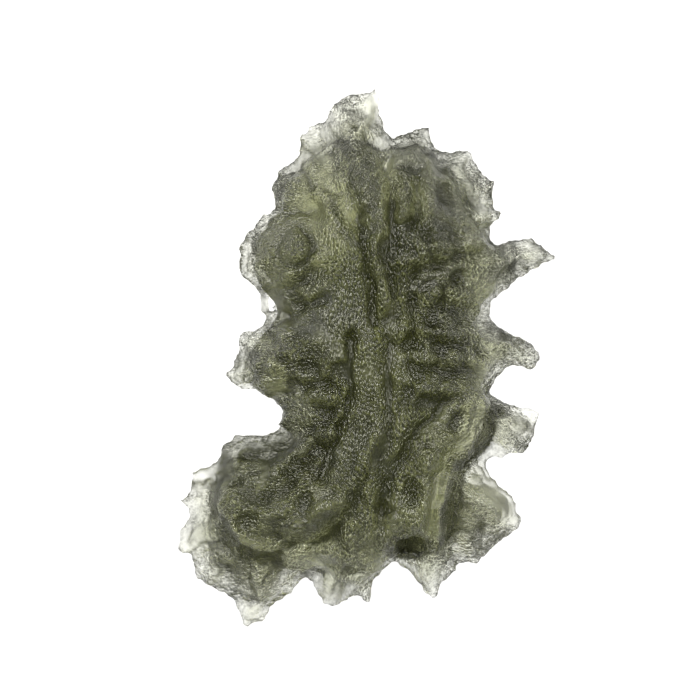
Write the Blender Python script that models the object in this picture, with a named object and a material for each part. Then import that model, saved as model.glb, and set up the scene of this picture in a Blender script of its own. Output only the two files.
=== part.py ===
"""A spiny natural glass tektite, lying on its back: one solid, 36 mm long, in metres, +Z up.

The stone is two swollen sheets grown into each other. The rim sheet has the whole outline, with its
transparent spines and thin flanges. The core sheet lies on it and is thick and dark. Both are cut
from outlines of sharp cusps joined by etched scallops, swollen by their distance from the outline,
fused, and then worked with flow grooves, crests and cupules on the front and on the back.
"""

import math
import random

import bmesh
import bpy
import numpy as np

MM = 0.001

# Driving dimensions, in millimetres
LENGTH = 36.0
WIDTH = 25.4
SHEET_DEPTH = 1.6
VOXEL = 0.3
FINE_VOXEL = 0.24
TRIANGLES = 9000

RIM = {"middle": 3.7, "edge": 0.24, "front": 2.4, "back": 3.75, "reach": 3.3}
RIM_MARGIN = 0.9
CORE = {"middle": 5.3, "edge": 0.45, "front": 3.6, "back": 3.0, "reach": 2.4}

# A scallop's depth as a share of its chord. A cusp with a third value has its own, and a minus swells out.
SCALLOP = 0.07
ARC_STEPS = 5

# Cusps of the whole stone's outline, clockwise from the top, in millimetres
TOP_LOBE = [
    (-2.3, 17.2), (-1.4, 17.7), (0.5, 18.0, -0.05), (1.0, 17.5), (1.15, 15.9), (1.7, 14.7, -0.03),
]
UPPER_RIGHT = [
    (4.1, 15.6, -0.12), (4.4, 14.7), (4.8, 14.1), (6.6, 14.2, -0.05), (7.1, 14.0), (7.6, 12.8, 0.03),
    (8.6, 11.9), (8.5, 10.0, 0.02), (9.2, 9.85), (8.15, 8.1),
]
RIGHT_SPINES = [
    (8.6, 7.8, 0.03), (10.7, 8.2, -0.02), (12.1, 7.2, -0.05), (12.6, 6.6, 0.02), (11.6, 6.2, 0.03),
    (10.1, 5.2, 0.04), (8.4, 3.8, 0.05), (8.25, 2.9), (10.5, 1.4, -0.04), (11.7, 0.4, -0.1),
    (11.2, -0.7, 0.24), (8.3, -2.2), (9.8, -3.1, 0.03), (10.8, -3.3, -0.05), (11.6, -3.7, 0.04),
    (11.3, -4.3), (11.2, -5.0, -0.05), (10.8, -5.8), (10.7, -6.3, 0.04), (9.1, -6.6), (7.9, -7.0),
]
LOWER_RIGHT = [
    (8.8, -8.2, 0.02), (9.9, -9.4, -0.03), (10.1, -10.0), (10.6, -11.0, -0.05), (9.8, -11.9, 0.03),
    (8.9, -12.4), (8.1, -13.1), (7.4, -13.8, 0.12), (6.2, -13.8), (6.1, -14.3), (5.6, -14.6),
    (4.9, -16.0, -0.1), (4.5, -16.2, -0.1), (4.1, -15.9, 0.02), (3.1, -14.4), (1.7, -13.7),
]
FOOT_LOBES = [
    (1.0, -14.5), (0.6, -14.8), (0.4, -16.0), (0.3, -16.3), (-0.9, -16.0), (-1.5, -16.4),
    (-2.0, -16.7, -0.1), (-2.7, -16.7, 0.02), (-3.5, -15.4), (-3.9, -14.5),
]
LOWER_LEFT_FAN = [
    (-4.4, -15.0), (-4.8, -15.7), (-5.6, -16.1), (-6.5, -17.3), (-6.8, -17.7), (-7.2, -17.6),
    (-7.7, -18.0, -0.1), (-8.1, -17.9), (-8.3, -17.2), (-8.7, -16.2), (-9.5, -15.7), (-10.3, -15.4),
    (-11.5, -14.7), (-11.5, -13.4), (-12.6, -13.1), (-12.6, -11.7), (-11.9, -10.9), (-11.9, -10.2),
    (-12.5, -9.6), (-11.9, -9.2), (-11.6, -7.6), (-10.9, -7.3), (-10.2, -7.1), (-9.4, -5.9),
    (-9.4, -5.6), (-8.6, -5.0, 0.07),
]
LEFT_SPINES = [
    (-5.8, -4.8), (-5.8, -4.3), (-5.4, -3.3, 0.12), (-6.5, -2.4), (-7.9, -2.1, -0.06), (-9.3, -1.1, 0.03),
    (-9.0, -0.7), (-8.5, 0.6), (-8.5, 1.6, -0.1), (-7.9, 1.9, 0.12), (-6.7, 2.4), (-6.6, 2.7),
    (-6.9, 3.2), (-7.1, 4.0), (-7.0, 4.4), (-7.4, 4.8, 0.03), (-8.4, 5.6, -0.05), (-8.3, 6.5),
    (-8.4, 7.5, 0.02), (-7.6, 8.7), (-7.1, 9.4), (-6.9, 9.8),
]
UPPER_LEFT = [
    (-5.9, 10.0, -0.1), (-5.8, 12.8, 0.26), (-4.4, 14.9, -0.05), (-4.1, 15.3), (-3.8, 15.3, -0.25),
    (-3.6, 15.8, -0.25), (-3.1, 15.9, -0.2), (-2.8, 15.8, 0.03), (-2.4, 16.5),
]
RIM_OUTLINE = (
    TOP_LOBE + UPPER_RIGHT + RIGHT_SPINES + LOWER_RIGHT
    + FOOT_LOBES + LOWER_LEFT_FAN + LEFT_SPINES + UPPER_LEFT
)

# Cusps of the thick core, clockwise from the top. It stops short of the clear spines and flanges.
CORE_OUTLINE = [
    (-3.6, 13.6), (-2.3, 14.4), (-0.5, 14.6), (0.8, 13.7), (1.8, 14.0), (3.4, 14.3), (4.4, 13.0),
    (5.8, 11.8), (6.6, 9.9), (7.6, 8.5), (8.6, 7.3), (9.2, 6.3), (8.5, 4.5), (7.1, 2.6), (7.9, 1.2),
    (9.8, 1.2), (9.2, 0.2), (8.0, -0.9), (7.6, -1.9), (8.3, -3.1), (7.3, -4.9), (6.9, -6.4),
    (5.8, -8.1), (5.4, -9.6), (5.3, -11.4), (5.1, -12.5), (3.5, -13.0), (1.6, -13.2), (0.7, -14.2),
    (-0.4, -15.2), (-1.8, -14.8), (-3.0, -13.7), (-4.1, -14.1), (-5.3, -14.0), (-5.8, -12.9),
    (-7.3, -12.8), (-8.5, -12.2), (-9.5, -10.9), (-9.7, -9.6), (-9.2, -8.7), (-7.6, -7.8),
    (-5.7, -6.9), (-4.4, -5.9), (-4.5, -5.1), (-5.8, -4.5), (-5.5, -3.4, 0.12), (-6.6, -2.5),
    (-7.5, -1.9), (-7.5, 0.9), (-6.3, 2.3), (-5.7, 3.2), (-6.9, 4.8), (-7.3, 5.9), (-7.2, 7.9),
    (-6.2, 9.5), (-5.5, 10.0), (-5.3, 12.0, 0.15),
]

# How far each spine of a sheet leans up, or down with a minus: x, y, lean, radius of its influence
RIM_LEANS = [
    (0.2, 17.4, 1.5, 2.6), (4.1, 15.4, 1.2, 1.8), (7.2, 13.4, -1.0, 2.2), (9.1, 9.8, 0.5, 1.4),
    (12.2, 7.0, 1.6, 2.6), (8.6, 3.5, -0.9, 1.6), (11.4, 0.2, -0.6, 2.2), (11.2, -4.6, 1.2, 2.2),
    (10.3, -11.0, -1.0, 2.6), (7.3, -13.7, 0.6, 1.3), (4.6, -15.9, -0.9, 1.7), (0.3, -16.1, 1.0, 1.3),
    (-2.3, -16.6, -0.8, 1.5), (-7.5, -17.9, 1.2, 2.2), (-12.4, -12.4, -1.5, 2.2),
    (-12.2, -9.4, -1.0, 2.0), (-8.8, -5.6, 1.3, 2.2), (-9.2, -1.0, 0.9, 1.8), (-8.4, 1.4, -0.8, 1.2),
    (-6.8, 3.6, -0.7, 1.2), (-8.4, 6.5, 1.2, 1.8), (-6.0, 12.4, 0.5, 1.6), (-3.6, 15.6, -0.8, 1.2),
]
CORE_LEANS = [
    (9.2, 1.0, -0.5, 1.6), (8.6, 7.0, -0.4, 2.0), (5.4, -9.6, 0.7, 2.4), (7.4, -5.2, 0.6, 1.8),
    (-0.4, -15.0, -0.5, 1.3), (-8.6, -10.4, 0.6, 2.4), (-5.8, -7.4, 0.7, 1.8), (-7.0, -1.2, 0.5, 1.6),
    (-6.8, 6.4, 0.6, 1.9), (-5.2, 11.4, 0.3, 1.5), (3.2, 13.6, -0.5, 1.8), (-1.6, 14.0, -0.6, 1.8),
]

# Strokes along the glass's flow lines: points, half width, height (a minus is a groove)
FRONT_STROKES = [
    ([(1.3, 12.7), (1.5, 7.3), (1.8, 3.9), (1.4, -1.5), (1.3, -7.8), (1.2, -10.9)], 0.42, -0.6),
    ([(-0.6, 9.6), (-0.2, 7.8), (0.2, 5.3), (0.7, 2.2)], 0.28, -0.8),
    ([(0.6, 10.6), (0.8, 7.0), (1.1, 3.4)], 0.3, 0.45),
    ([(-2.7, 7.4), (-2.1, 3.5), (-1.9, -0.4)], 1.1, 0.55),
    ([(-1.0, 1.6), (-1.3, -2.6), (-1.7, -4.8), (-2.8, -7.6)], 0.33, -0.8),
    ([(-2.8, 13.8), (-1.5, 10.8), (-0.8, 8.6)], 0.85, -1.5),
    ([(-3.6, 9.6), (-2.8, 7.8), (-2.0, 6.0)], 0.75, -1.1),
    ([(-2.6, 9.9), (-1.6, 9.1), (-0.6, 7.8)], 0.3, 0.45),
    ([(1.6, 13.2), (1.6, 11.6), (1.4, 10.2)], 0.55, -1.0),
    ([(3.2, 11.6), (3.2, 10.2), (2.9, 8.8)], 0.42, -0.9),
    ([(7.8, -3.4), (6.8, -5.3), (6.4, -6.4), (5.3, -8.1), (4.9, -9.4), (4.8, -12.2)], 0.42, 0.9),
    ([(8.4, -5.2), (7.2, -7.2), (6.3, -9.2), (6.0, -12.2)], 0.5, -0.7),
    ([(-4.0, -5.3), (-4.7, -6.2), (-6.7, -7.4), (-9.0, -8.8)], 0.36, 0.75),
    ([(-9.2, -9.0), (-9.3, -10.3), (-8.2, -12.0), (-6.2, -12.4)], 0.4, 0.7),
    ([(-3.6, -6.6), (-5.0, -8.2), (-7.4, -9.2)], 0.5, -0.6),
    ([(0.2, -7.6), (-1.0, -10.2), (-3.0, -11.8), (-5.0, -12.5)], 0.4, -0.8),
    ([(0.6, -5.0), (-0.4, -8.0), (-2.4, -9.8), (-5.0, -11.0)], 0.4, 0.45),
    ([(5.0, -2.6), (3.2, -4.9), (2.3, -6.7), (1.5, -9.6)], 0.5, -0.85),
    ([(6.6, -3.6), (4.8, -5.8), (3.7, -8.0), (3.3, -10.6)], 0.5, 0.5),
    ([(2.8, 5.4), (2.7, 3.2), (2.9, 0.8)], 0.42, -0.75),
    ([(2.9, 5.6), (5.2, 6.3), (7.2, 6.8)], 0.45, -0.7),
    ([(3.4, 7.4), (6.2, 7.9), (9.6, 7.5)], 0.6, 0.6),
    ([(5.0, 9.6), (6.6, 9.2), (8.6, 9.5)], 0.5, 0.5),
    ([(3.2, 3.6), (5.2, 3.6), (6.9, 2.9)], 0.5, -0.6),
    ([(3.6, 2.0), (6.2, 1.9), (10.0, 0.8)], 0.5, 0.6),
    ([(3.0, -0.4), (5.0, -0.6), (7.4, -1.4)], 0.5, -0.6),
    ([(3.4, -1.8), (5.6, -2.0), (8.0, -2.9)], 0.45, 0.45),
    ([(-3.2, 1.4), (-5.4, 0.6), (-7.8, -0.9)], 0.6, 0.5),
    ([(-2.9, 3.8), (-4.8, 2.8), (-6.6, 1.8)], 0.5, -0.6),
    ([(-2.6, -1.6), (-4.4, -2.0), (-6.2, -2.7)], 0.45, -0.6),
    ([(-3.0, 5.6), (-4.8, 4.8), (-6.6, 4.6)], 0.5, -0.6),
    ([(-3.2, 9.8), (-4.6, 9.4), (-6.2, 9.0)], 0.45, -0.6),
    ([(4.2, 13.4), (4.4, 11.6), (4.2, 9.8)], 0.45, 0.45),
    ([(-1.3, -11.0), (-1.6, -13.0), (-2.2, -15.6)], 0.5, 0.55),
    ([(1.6, -10.6), (1.4, -12.4), (0.3, -15.0)], 0.45, 0.5),
    ([(0.4, 17.6), (-0.1, 15.6), (-0.8, 14.0)], 0.4, 0.45),
    ([(11.8, 7.0), (10.2, 6.9), (8.8, 6.6)], 0.4, 0.4),
    ([(11.0, -4.8), (9.4, -4.6), (8.0, -3.8)], 0.5, 0.5),
    ([(10.4, -11.0), (8.8, -9.8), (7.2, -8.8)], 0.5, 0.5),
    ([(4.5, -15.8), (4.3, -14.2), (4.2, -13.0)], 0.4, 0.5),
    ([(-7.6, -17.6), (-7.3, -15.6), (-6.6, -13.6)], 0.45, 0.6),
    ([(-12.3, -12.6), (-10.9, -11.6), (-9.8, -11.0)], 0.5, 0.5),
    ([(-10.4, -15.0), (-9.4, -13.8), (-8.6, -12.6)], 0.4, 0.45),
]

# Cupules etched into the front: x, y, radius, stretch along Y, turn in degrees
CUPULE_DEPTH = 0.36
FRONT_CUPULES = [
    (-2.0, 9.2, 0.7, 0.8, 30), (-6.2, 5.9, 0.9, 1.0, 0), (-1.8, -0.9, 1.1, 0.9, 0),
    (-3.9, -0.6, 1.0, 1.1, 0), (-4.9, -1.9, 0.9, 0.8, 0), (-2.9, -3.6, 1.2, 1.0, 0),
    (-4.4, 3.8, 1.1, 0.9, 0), (-3.3, -6.0, 0.9, 0.9, 0), (1.9, 4.8, 0.9, 1.7, 5),
    (4.0, 4.9, 1.1, 0.9, 0), (6.3, 5.3, 1.0, 0.8, 0), (4.4, 3.0, 1.0, 0.8, 0),
    (4.9, 0.7, 1.0, 0.8, 0), (7.6, 0.4, 0.8, 0.8, 20), (4.4, -2.9, 1.1, 1.0, 0),
    (2.6, -2.4, 1.0, 1.3, -10), (6.0, -4.3, 0.9, 0.9, 0), (9.6, -5.0, 1.0, 0.8, 0),
    (8.9, -9.2, 1.3, 0.9, 0), (8.3, -11.6, 1.1, 0.9, 0), (2.6, -8.6, 0.9, 1.6, -15),
    (4.0, -9.8, 0.8, 1.5, 5), (-0.4, -9.0, 0.9, 1.6, 20), (-4.0, -9.3, 1.1, 0.8, 30),
    (-6.6, -9.0, 1.0, 0.9, 0), (-7.6, -10.8, 1.2, 0.9, 0), (-7.2, -6.2, 1.4, 0.7, 20),
    (-10.9, -9.6, 1.2, 1.4, 0), (-11.2, -12.6, 1.1, 0.9, 0), (-9.6, -14.3, 1.1, 0.9, 0),
    (-7.9, -15.6, 0.9, 1.1, 0), (-5.4, -14.9, 0.8, 1.0, 0), (-2.7, -14.8, 0.9, 1.2, 0),
    (-0.6, -14.0, 0.9, 1.2, 0), (5.9, -14.1, 0.8, 0.9, 0), (3.4, -14.3, 0.8, 0.9, 0),
    (3.1, 12.9, 1.0, 0.9, 0), (6.0, 12.8, 1.2, 0.9, 0), (7.3, 11.0, 1.0, 0.9, 0),
    (5.4, 10.9, 0.9, 1.0, 0), (6.4, 8.0, 1.1, 0.8, 0), (4.0, 8.4, 0.9, 1.1, 0),
    (-0.9, 16.2, 0.9, 1.1, 0), (0.6, 15.4, 0.8, 1.3, 0), (-3.3, 14.3, 0.8, 0.9, 0),
    (-5.0, 13.3, 0.8, 0.9, 0), (11.0, 7.2, 0.9, 0.8, 0), (10.0, 6.0, 0.8, 0.7, 30),
    (9.6, 1.9, 0.8, 0.8, 0), (10.2, 0.0, 0.8, 0.8, 0), (-8.2, -0.3, 0.7, 0.9, 0),
    (-7.7, 7.0, 0.8, 1.4, 0), (-7.4, 5.3, 0.7, 0.8, 0), (-10.6, -8.0, 0.9, 0.9, 0),
]

# Steep pits under the core's lower rim: x, y, radius, depth, stretch, turn
FRONT_PITS = [(3.2, -12.3, 1.3, 1.7, 0.75, 20), (-6.3, -13.2, 1.0, 1.2, 0.7, 15)]

# Round knobs ringed by a moat: x, y, radius, height
FRONT_KNOBS = [
    (-4.9, 11.3, 1.15, 0.75), (-4.6, 7.4, 1.1, 0.75), (-6.0, -0.4, 0.7, 0.5), (-3.1, -2.4, 0.9, 0.4),
    (-2.6, -5.0, 0.9, 0.4), (-4.2, -7.6, 0.8, 0.4), (7.6, -7.6, 0.9, 0.5), (4.4, -6.8, 0.9, 0.4),
    (4.2, 4.0, 0.9, 0.4), (2.1, 1.9, 0.8, 0.35), (6.1, 3.8, 0.8, 0.4), (5.6, -0.1, 0.9, 0.4),
    (-2.0, 11.9, 0.7, 0.3), (2.3, 9.4, 0.8, 0.35), (5.0, 7.0, 0.9, 0.4), (-5.6, 2.3, 0.9, 0.4),
    (-4.9, -11.0, 0.9, 0.4), (-2.4, -12.6, 0.8, 0.4), (-10.2, -13.2, 0.9, 0.4), (6.6, -12.6, 0.8, 0.4),
]

# Blunt spikes that stand off the two faces: x, y, radius, height
FRONT_SPIKES = [
    (-5.9, 9.3, 0.8, 0.6), (5.4, 2.1, 0.8, 0.5), (6.9, -3.3, 0.8, 0.5), (-8.4, -7.2, 1.0, 0.6),
    (4.8, -12.2, 0.7, 0.6), (5.2, 12.2, 0.9, 0.5), (-3.7, 12.9, 0.8, 0.5),
]
BACK_SPIKES = [
    (0.0, 0.3, 5.2, 1.1), (-4.6, 7.4, 1.9, 2.3), (4.6, 7.4, 1.9, 1.7), (6.6, -1.6, 1.7, 1.9),
    (4.4, -9.4, 1.8, 1.6), (-3.4, -10.4, 2.0, 1.9), (-7.2, -8.4, 1.6, 1.6), (-5.6, 0.2, 1.8, 2.2),
    (0.6, 12.0, 1.8, 1.5), (-8.9, -12.8, 1.3, 1.1), (0.2, -13.4, 1.3, 1.1), (7.9, -10.2, 1.3, 1.1),
    (8.2, 6.6, 1.2, 1.0), (5.0, 11.6, 1.2, 1.0),
]

# Cupules on the back are spread by a seeded draw
BACK_SEED = 7
BACK_CUPULES = 70
BACK_CUPULE_RADIUS = (0.8, 1.7)
BACK_STROKES = [
    ([(-1.5, 12.0), (-0.8, 7.0), (-2.0, 3.0)], 0.7, -0.8),
    ([(3.4, 11.0), (2.8, 6.6), (4.0, 3.0)], 0.7, -0.7),
    ([(-3.2, -4.0), (-3.6, -8.0), (-6.0, -12.0)], 0.8, -0.9),
    ([(3.0, -5.0), (3.4, -8.6), (2.4, -12.4)], 0.7, -0.8),
    ([(-4.4, 5.6), (-5.6, 3.0), (-5.4, -2.6)], 0.7, -0.6),
    ([(5.8, 4.6), (5.2, 0.8), (6.2, -4.4)], 0.7, -0.7),
]

# The belly is ground flat where the stone lies on it
FOOT_HEIGHT = -0.1


def clear_scene():
    for obj in list(bpy.data.objects):
        bpy.data.objects.remove(obj, do_unlink=True)


def arc(start, end, hollow, steps):
    """Points from start up to end, without it, on an arc that bites in by hollow times the chord.
    The outline runs clockwise, so the stone lies on the right of each chord."""
    start = np.array(start)
    chord = np.array(end) - start
    inward = np.array([chord[1], -chord[0]])
    share = np.arange(steps) / steps
    bow = 4 * hollow * share * (1 - share)
    return start + share[:, None] * chord + bow[:, None] * inward


def traced(cusps):
    """The closed outline through the cusps, with an etched scallop between each two."""
    runs = []
    for i, cusp in enumerate(cusps):
        after = cusps[(i + 1) % len(cusps)]
        hollow = cusp[2] if len(cusp) > 2 else SCALLOP
        runs.append(arc(cusp[:2], after[:2], hollow, ARC_STEPS))
    return np.concatenate(runs)


def distance_to_line(points, line, closed):
    """Each point's distance from a line of points in the plane."""
    starts = line
    ends = np.roll(line, -1, axis=0)
    if not closed:
        starts = line[:-1]
        ends = line[1:]
    nearest = np.full(len(points), np.inf)
    for start, end in zip(starts, ends):
        chord = end - start
        share = np.clip((points - start) @ chord / max(chord @ chord, 1e-9), 0, 1)
        gap = points - start - share[:, None] * chord
        nearest = np.minimum(nearest, np.hypot(gap[:, 0], gap[:, 1]))
    return nearest


def smooth_step(value):
    value = np.clip(value, 0, 1)
    return value * value * (3 - 2 * value)


def read_points(mesh):
    flat = np.empty(len(mesh.vertices) * 3)
    mesh.vertices.foreach_get("co", flat)
    return flat.reshape(-1, 3)


def write_points(mesh, points):
    mesh.vertices.foreach_set("co", points.ravel())
    mesh.update()


def read_normals(mesh):
    flat = np.empty(len(mesh.vertices) * 3)
    mesh.vertex_normals.foreach_get("vector", flat)
    return flat.reshape(-1, 3)


def apply_modifiers(obj):
    graph = bpy.context.evaluated_depsgraph_get()
    mesh = bpy.data.meshes.new_from_object(obj.evaluated_get(graph))
    obj.modifiers.clear()
    obj.data = mesh


def remesh(obj, voxel):
    step = obj.modifiers.new("Remesh", "REMESH")
    step.mode = "VOXEL"
    step.voxel_size = voxel
    apply_modifiers(obj)


def leans_at(points, leans):
    rise = np.zeros(len(points))
    for x, y, lean, radius in leans:
        gap = np.hypot(points[:, 0] - x, points[:, 1] - y) / radius
        rise += lean * np.exp(-gap * gap)
    return rise


def swollen_sheet(name, cusps, form, leans):
    """A sheet cut to the outline, thin at its edge, and swollen by the distance from it."""
    outline = traced(cusps)
    shape = bmesh.new()
    floor = [shape.verts.new((x, y, -SHEET_DEPTH)) for x, y in outline]
    face = shape.faces.new(floor)
    raised = bmesh.ops.extrude_face_region(shape, geom=[face])["geom"]
    verts = [v for v in raised if isinstance(v, bmesh.types.BMVert)]
    bmesh.ops.translate(shape, verts=verts, vec=(0, 0, 2 * SHEET_DEPTH))
    bmesh.ops.recalc_face_normals(shape, faces=shape.faces)
    mesh = bpy.data.meshes.new(name)
    shape.to_mesh(mesh)
    shape.free()
    obj = bpy.data.objects.new(name, mesh)
    bpy.context.collection.objects.link(obj)
    remesh(obj, VOXEL)

    points = read_points(obj.data)
    inside = distance_to_line(points[:, :2], outline, closed=True)
    level = np.clip(points[:, 2] / SHEET_DEPTH, -1, 1)
    swell = np.where(level > 0, form["front"], form["back"]) * (1 - np.exp(-inside / form["reach"]))
    middle = form["middle"] + leans_at(points, leans)
    points[:, 2] = middle + level * (form["edge"] + swell)
    write_points(obj.data, points)
    return obj


def fused(name, sheets):
    """One closed body of the overlapping sheets."""
    shape = bmesh.new()
    for sheet in sheets:
        shape.from_mesh(sheet.data)
        bpy.data.objects.remove(sheet, do_unlink=True)
    mesh = bpy.data.meshes.new(name)
    shape.to_mesh(mesh)
    shape.free()
    obj = bpy.data.objects.new(name, mesh)
    bpy.context.collection.objects.link(obj)
    remesh(obj, FINE_VOXEL)
    return obj


def room_at_rim(obj):
    """How much depth there is for relief at each point: none in the thin glass at the outline."""
    inside = distance_to_line(read_points(obj.data)[:, :2], traced(RIM_OUTLINE), closed=True)
    return smooth_step(inside / RIM_MARGIN)


def facing(obj, side):
    """How much each point of the surface faces the front, side +1, or the back, side -1."""
    return smooth_step(side * read_normals(obj.data)[:, 2] / 0.35)


def draw_stroke(points, share, side, line, half_width, height):
    """Raises or sinks the surface along a flow line, fading out towards its ends."""
    line = np.array(line)
    gap = distance_to_line(points[:, :2], line, closed=False) / half_width
    profile = np.exp(-gap * gap)
    return side * height * profile * share


def draw_cupule(points, share, side, x, y, radius, depth, stretch, turn):
    """Etches a bowl: what stands above the lower half of a ball that is set into the surface goes."""
    angle = math.radians(turn)
    across = (points[:, 0] - x) * math.cos(angle) + (points[:, 1] - y) * math.sin(angle)
    along = (points[:, 1] - y) * math.cos(angle) - (points[:, 0] - x) * math.sin(angle)
    gap = np.hypot(across, along / stretch) / radius
    near = (gap < 1) & (share > 0.3)
    if not near.any():
        return np.zeros(len(points))
    level = (side * points[near, 2]).mean()
    bowl = level - depth * (1 - gap * gap)
    cut = np.minimum(0, bowl - side * points[:, 2])
    rim = smooth_step((1 - gap) / 0.35)
    return side * np.maximum(cut, -1.6 * depth) * rim * share


def draw_knob(points, share, side, x, y, radius, height):
    """A dome with a shallow moat around it."""
    gap = np.hypot(points[:, 0] - x, points[:, 1] - y) / radius
    dome = np.sqrt(np.clip(1 - gap * gap, 0, 1))
    moat = 0.45 * np.exp(-((gap - 1.15) / 0.25) ** 2)
    return side * height * (dome - moat) * share


def draw_spike(points, share, side, x, y, radius, height):
    gap = np.hypot(points[:, 0] - x, points[:, 1] - y) / radius
    profile = np.clip(1 - gap, 0, 1) ** 1.3
    return side * height * profile * share


def back_cupules():
    draw = random.Random(BACK_SEED)
    found = []
    while len(found) < BACK_CUPULES:
        x = draw.uniform(-12, 12)
        y = draw.uniform(-17, 17)
        found.append((x, y, draw.uniform(*BACK_CUPULE_RADIUS), draw.uniform(0.7, 1.4), draw.uniform(-60, 60)))
    return found


def bowls(cupules):
    return [(x, y, radius, CUPULE_DEPTH * radius, stretch, turn) for x, y, radius, stretch, turn in cupules]


def worked_face(obj, side, room, draw_form, forms):
    """Draws forms of one kind into one face, each on what the last one left."""
    for form in forms:
        points = read_points(obj.data)
        points[:, 2] += draw_form(points, room * facing(obj, side), side, *form)
        write_points(obj.data, points)


def drop_crumbs(obj):
    """Keeps only the largest connected body, without the crumbs left where a thin cusp tore off."""
    shape = bmesh.new()
    shape.from_mesh(obj.data)
    left = set(shape.verts)
    bodies = []
    while left:
        body = []
        front = [left.pop()]
        while front:
            vert = front.pop()
            body.append(vert)
            for edge in vert.link_edges:
                other = edge.other_vert(vert)
                if other in left:
                    left.remove(other)
                    front.append(other)
        bodies.append(body)
    bodies.sort(key=len)
    for crumb in bodies[:-1]:
        bmesh.ops.delete(shape, geom=crumb, context="VERTS")
    shape.to_mesh(obj.data)
    shape.free()


def decimate(obj, triangles):
    step = obj.modifiers.new("Decimate", "DECIMATE")
    step.ratio = min(1, triangles / (2 * len(obj.data.polygons)))
    apply_modifiers(obj)


def grind_foot(obj, height):
    """Cuts the belly off flat at this height."""
    bpy.ops.mesh.primitive_cube_add(size=2 * LENGTH, location=(0, 0, height - LENGTH))
    grinder = bpy.context.object
    grinder.display_type = "WIRE"
    grinder.hide_render = True
    step = obj.modifiers.new("Foot", "BOOLEAN")
    step.operation = "DIFFERENCE"
    step.solver = "EXACT"
    step.object = grinder
    apply_modifiers(obj)
    bpy.data.objects.remove(grinder, do_unlink=True)


def settle(obj, height):
    """Centres the stone over its foot's level, trues it to its length and width, and turns it to metres."""
    points = read_points(obj.data)
    low = points.min(axis=0)
    high = points.max(axis=0)
    middle = (low + high) / 2
    points -= (middle[0], middle[1], height)
    points *= (WIDTH / (high[0] - low[0]), LENGTH / (high[1] - low[1]), 1)
    write_points(obj.data, points * MM)


def green_glass():
    material = bpy.data.materials.new("green glass")
    material.use_nodes = True
    shader = material.node_tree.nodes["Principled BSDF"]
    shader.inputs["Base Color"].default_value = (0.36, 0.38, 0.26, 1)
    shader.inputs["Roughness"].default_value = 0.25
    shader.inputs["Metallic"].default_value = 0
    shader.inputs["IOR"].default_value = 1.49
    return material


def build():
    clear_scene()
    sheets = [
        swollen_sheet("rim", RIM_OUTLINE, RIM, RIM_LEANS),
        swollen_sheet("core", CORE_OUTLINE, CORE, CORE_LEANS),
    ]
    stone = fused("moldavite", sheets)
    room = room_at_rim(stone)
    worked_face(stone, 1, room, draw_stroke, FRONT_STROKES)
    worked_face(stone, 1, room, draw_spike, FRONT_SPIKES)
    worked_face(stone, 1, room, draw_knob, FRONT_KNOBS)
    worked_face(stone, 1, room, draw_cupule, bowls(FRONT_CUPULES))
    worked_face(stone, 1, room, draw_cupule, FRONT_PITS)
    worked_face(stone, -1, room, draw_stroke, BACK_STROKES)
    worked_face(stone, -1, room, draw_spike, BACK_SPIKES)
    worked_face(stone, -1, room, draw_cupule, bowls(back_cupules()))
    remesh(stone, FINE_VOXEL)
    decimate(stone, TRIANGLES)
    grind_foot(stone, FOOT_HEIGHT)
    drop_crumbs(stone)
    settle(stone, FOOT_HEIGHT)
    stone.data.shade_smooth()
    stone.data.materials.append(green_glass())


build()
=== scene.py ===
"""A spiny moldavite on a light table, seen from above.

It is olive glass, thick and dark in its core and clear at its rim. The stone is modelled from the same
outlines and flow lines as its solid, on a finer mesh. Its etched skin is carved over it in two sizes of
bowl, with fine steps and chips along the rim, and the smallest pits are left to the glass's own bump.
"""

import math
import random

import bpy
import numpy as np
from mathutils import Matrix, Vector, noise


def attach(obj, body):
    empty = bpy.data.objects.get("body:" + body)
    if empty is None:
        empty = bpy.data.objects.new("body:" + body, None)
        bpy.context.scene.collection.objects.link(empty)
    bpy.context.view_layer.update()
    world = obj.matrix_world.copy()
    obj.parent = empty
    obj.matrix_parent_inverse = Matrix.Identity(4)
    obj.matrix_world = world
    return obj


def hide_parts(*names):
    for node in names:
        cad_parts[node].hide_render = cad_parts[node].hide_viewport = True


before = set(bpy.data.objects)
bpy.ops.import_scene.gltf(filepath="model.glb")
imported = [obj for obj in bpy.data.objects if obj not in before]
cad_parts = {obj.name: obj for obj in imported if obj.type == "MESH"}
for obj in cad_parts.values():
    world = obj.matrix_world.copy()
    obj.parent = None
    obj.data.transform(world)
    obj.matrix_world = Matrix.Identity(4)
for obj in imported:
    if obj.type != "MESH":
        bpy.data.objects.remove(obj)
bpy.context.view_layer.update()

bl_info = {
    "name": "Moldavite",
    "version": (1, 0, 0),
    "blender": (4, 5, 0),
    "location": "View3D > Sidebar > Moldavite",
    "description": "Models a spiny moldavite and the light table it is seen on",
    "category": "Add Mesh",
}

MM = 0.001

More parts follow.
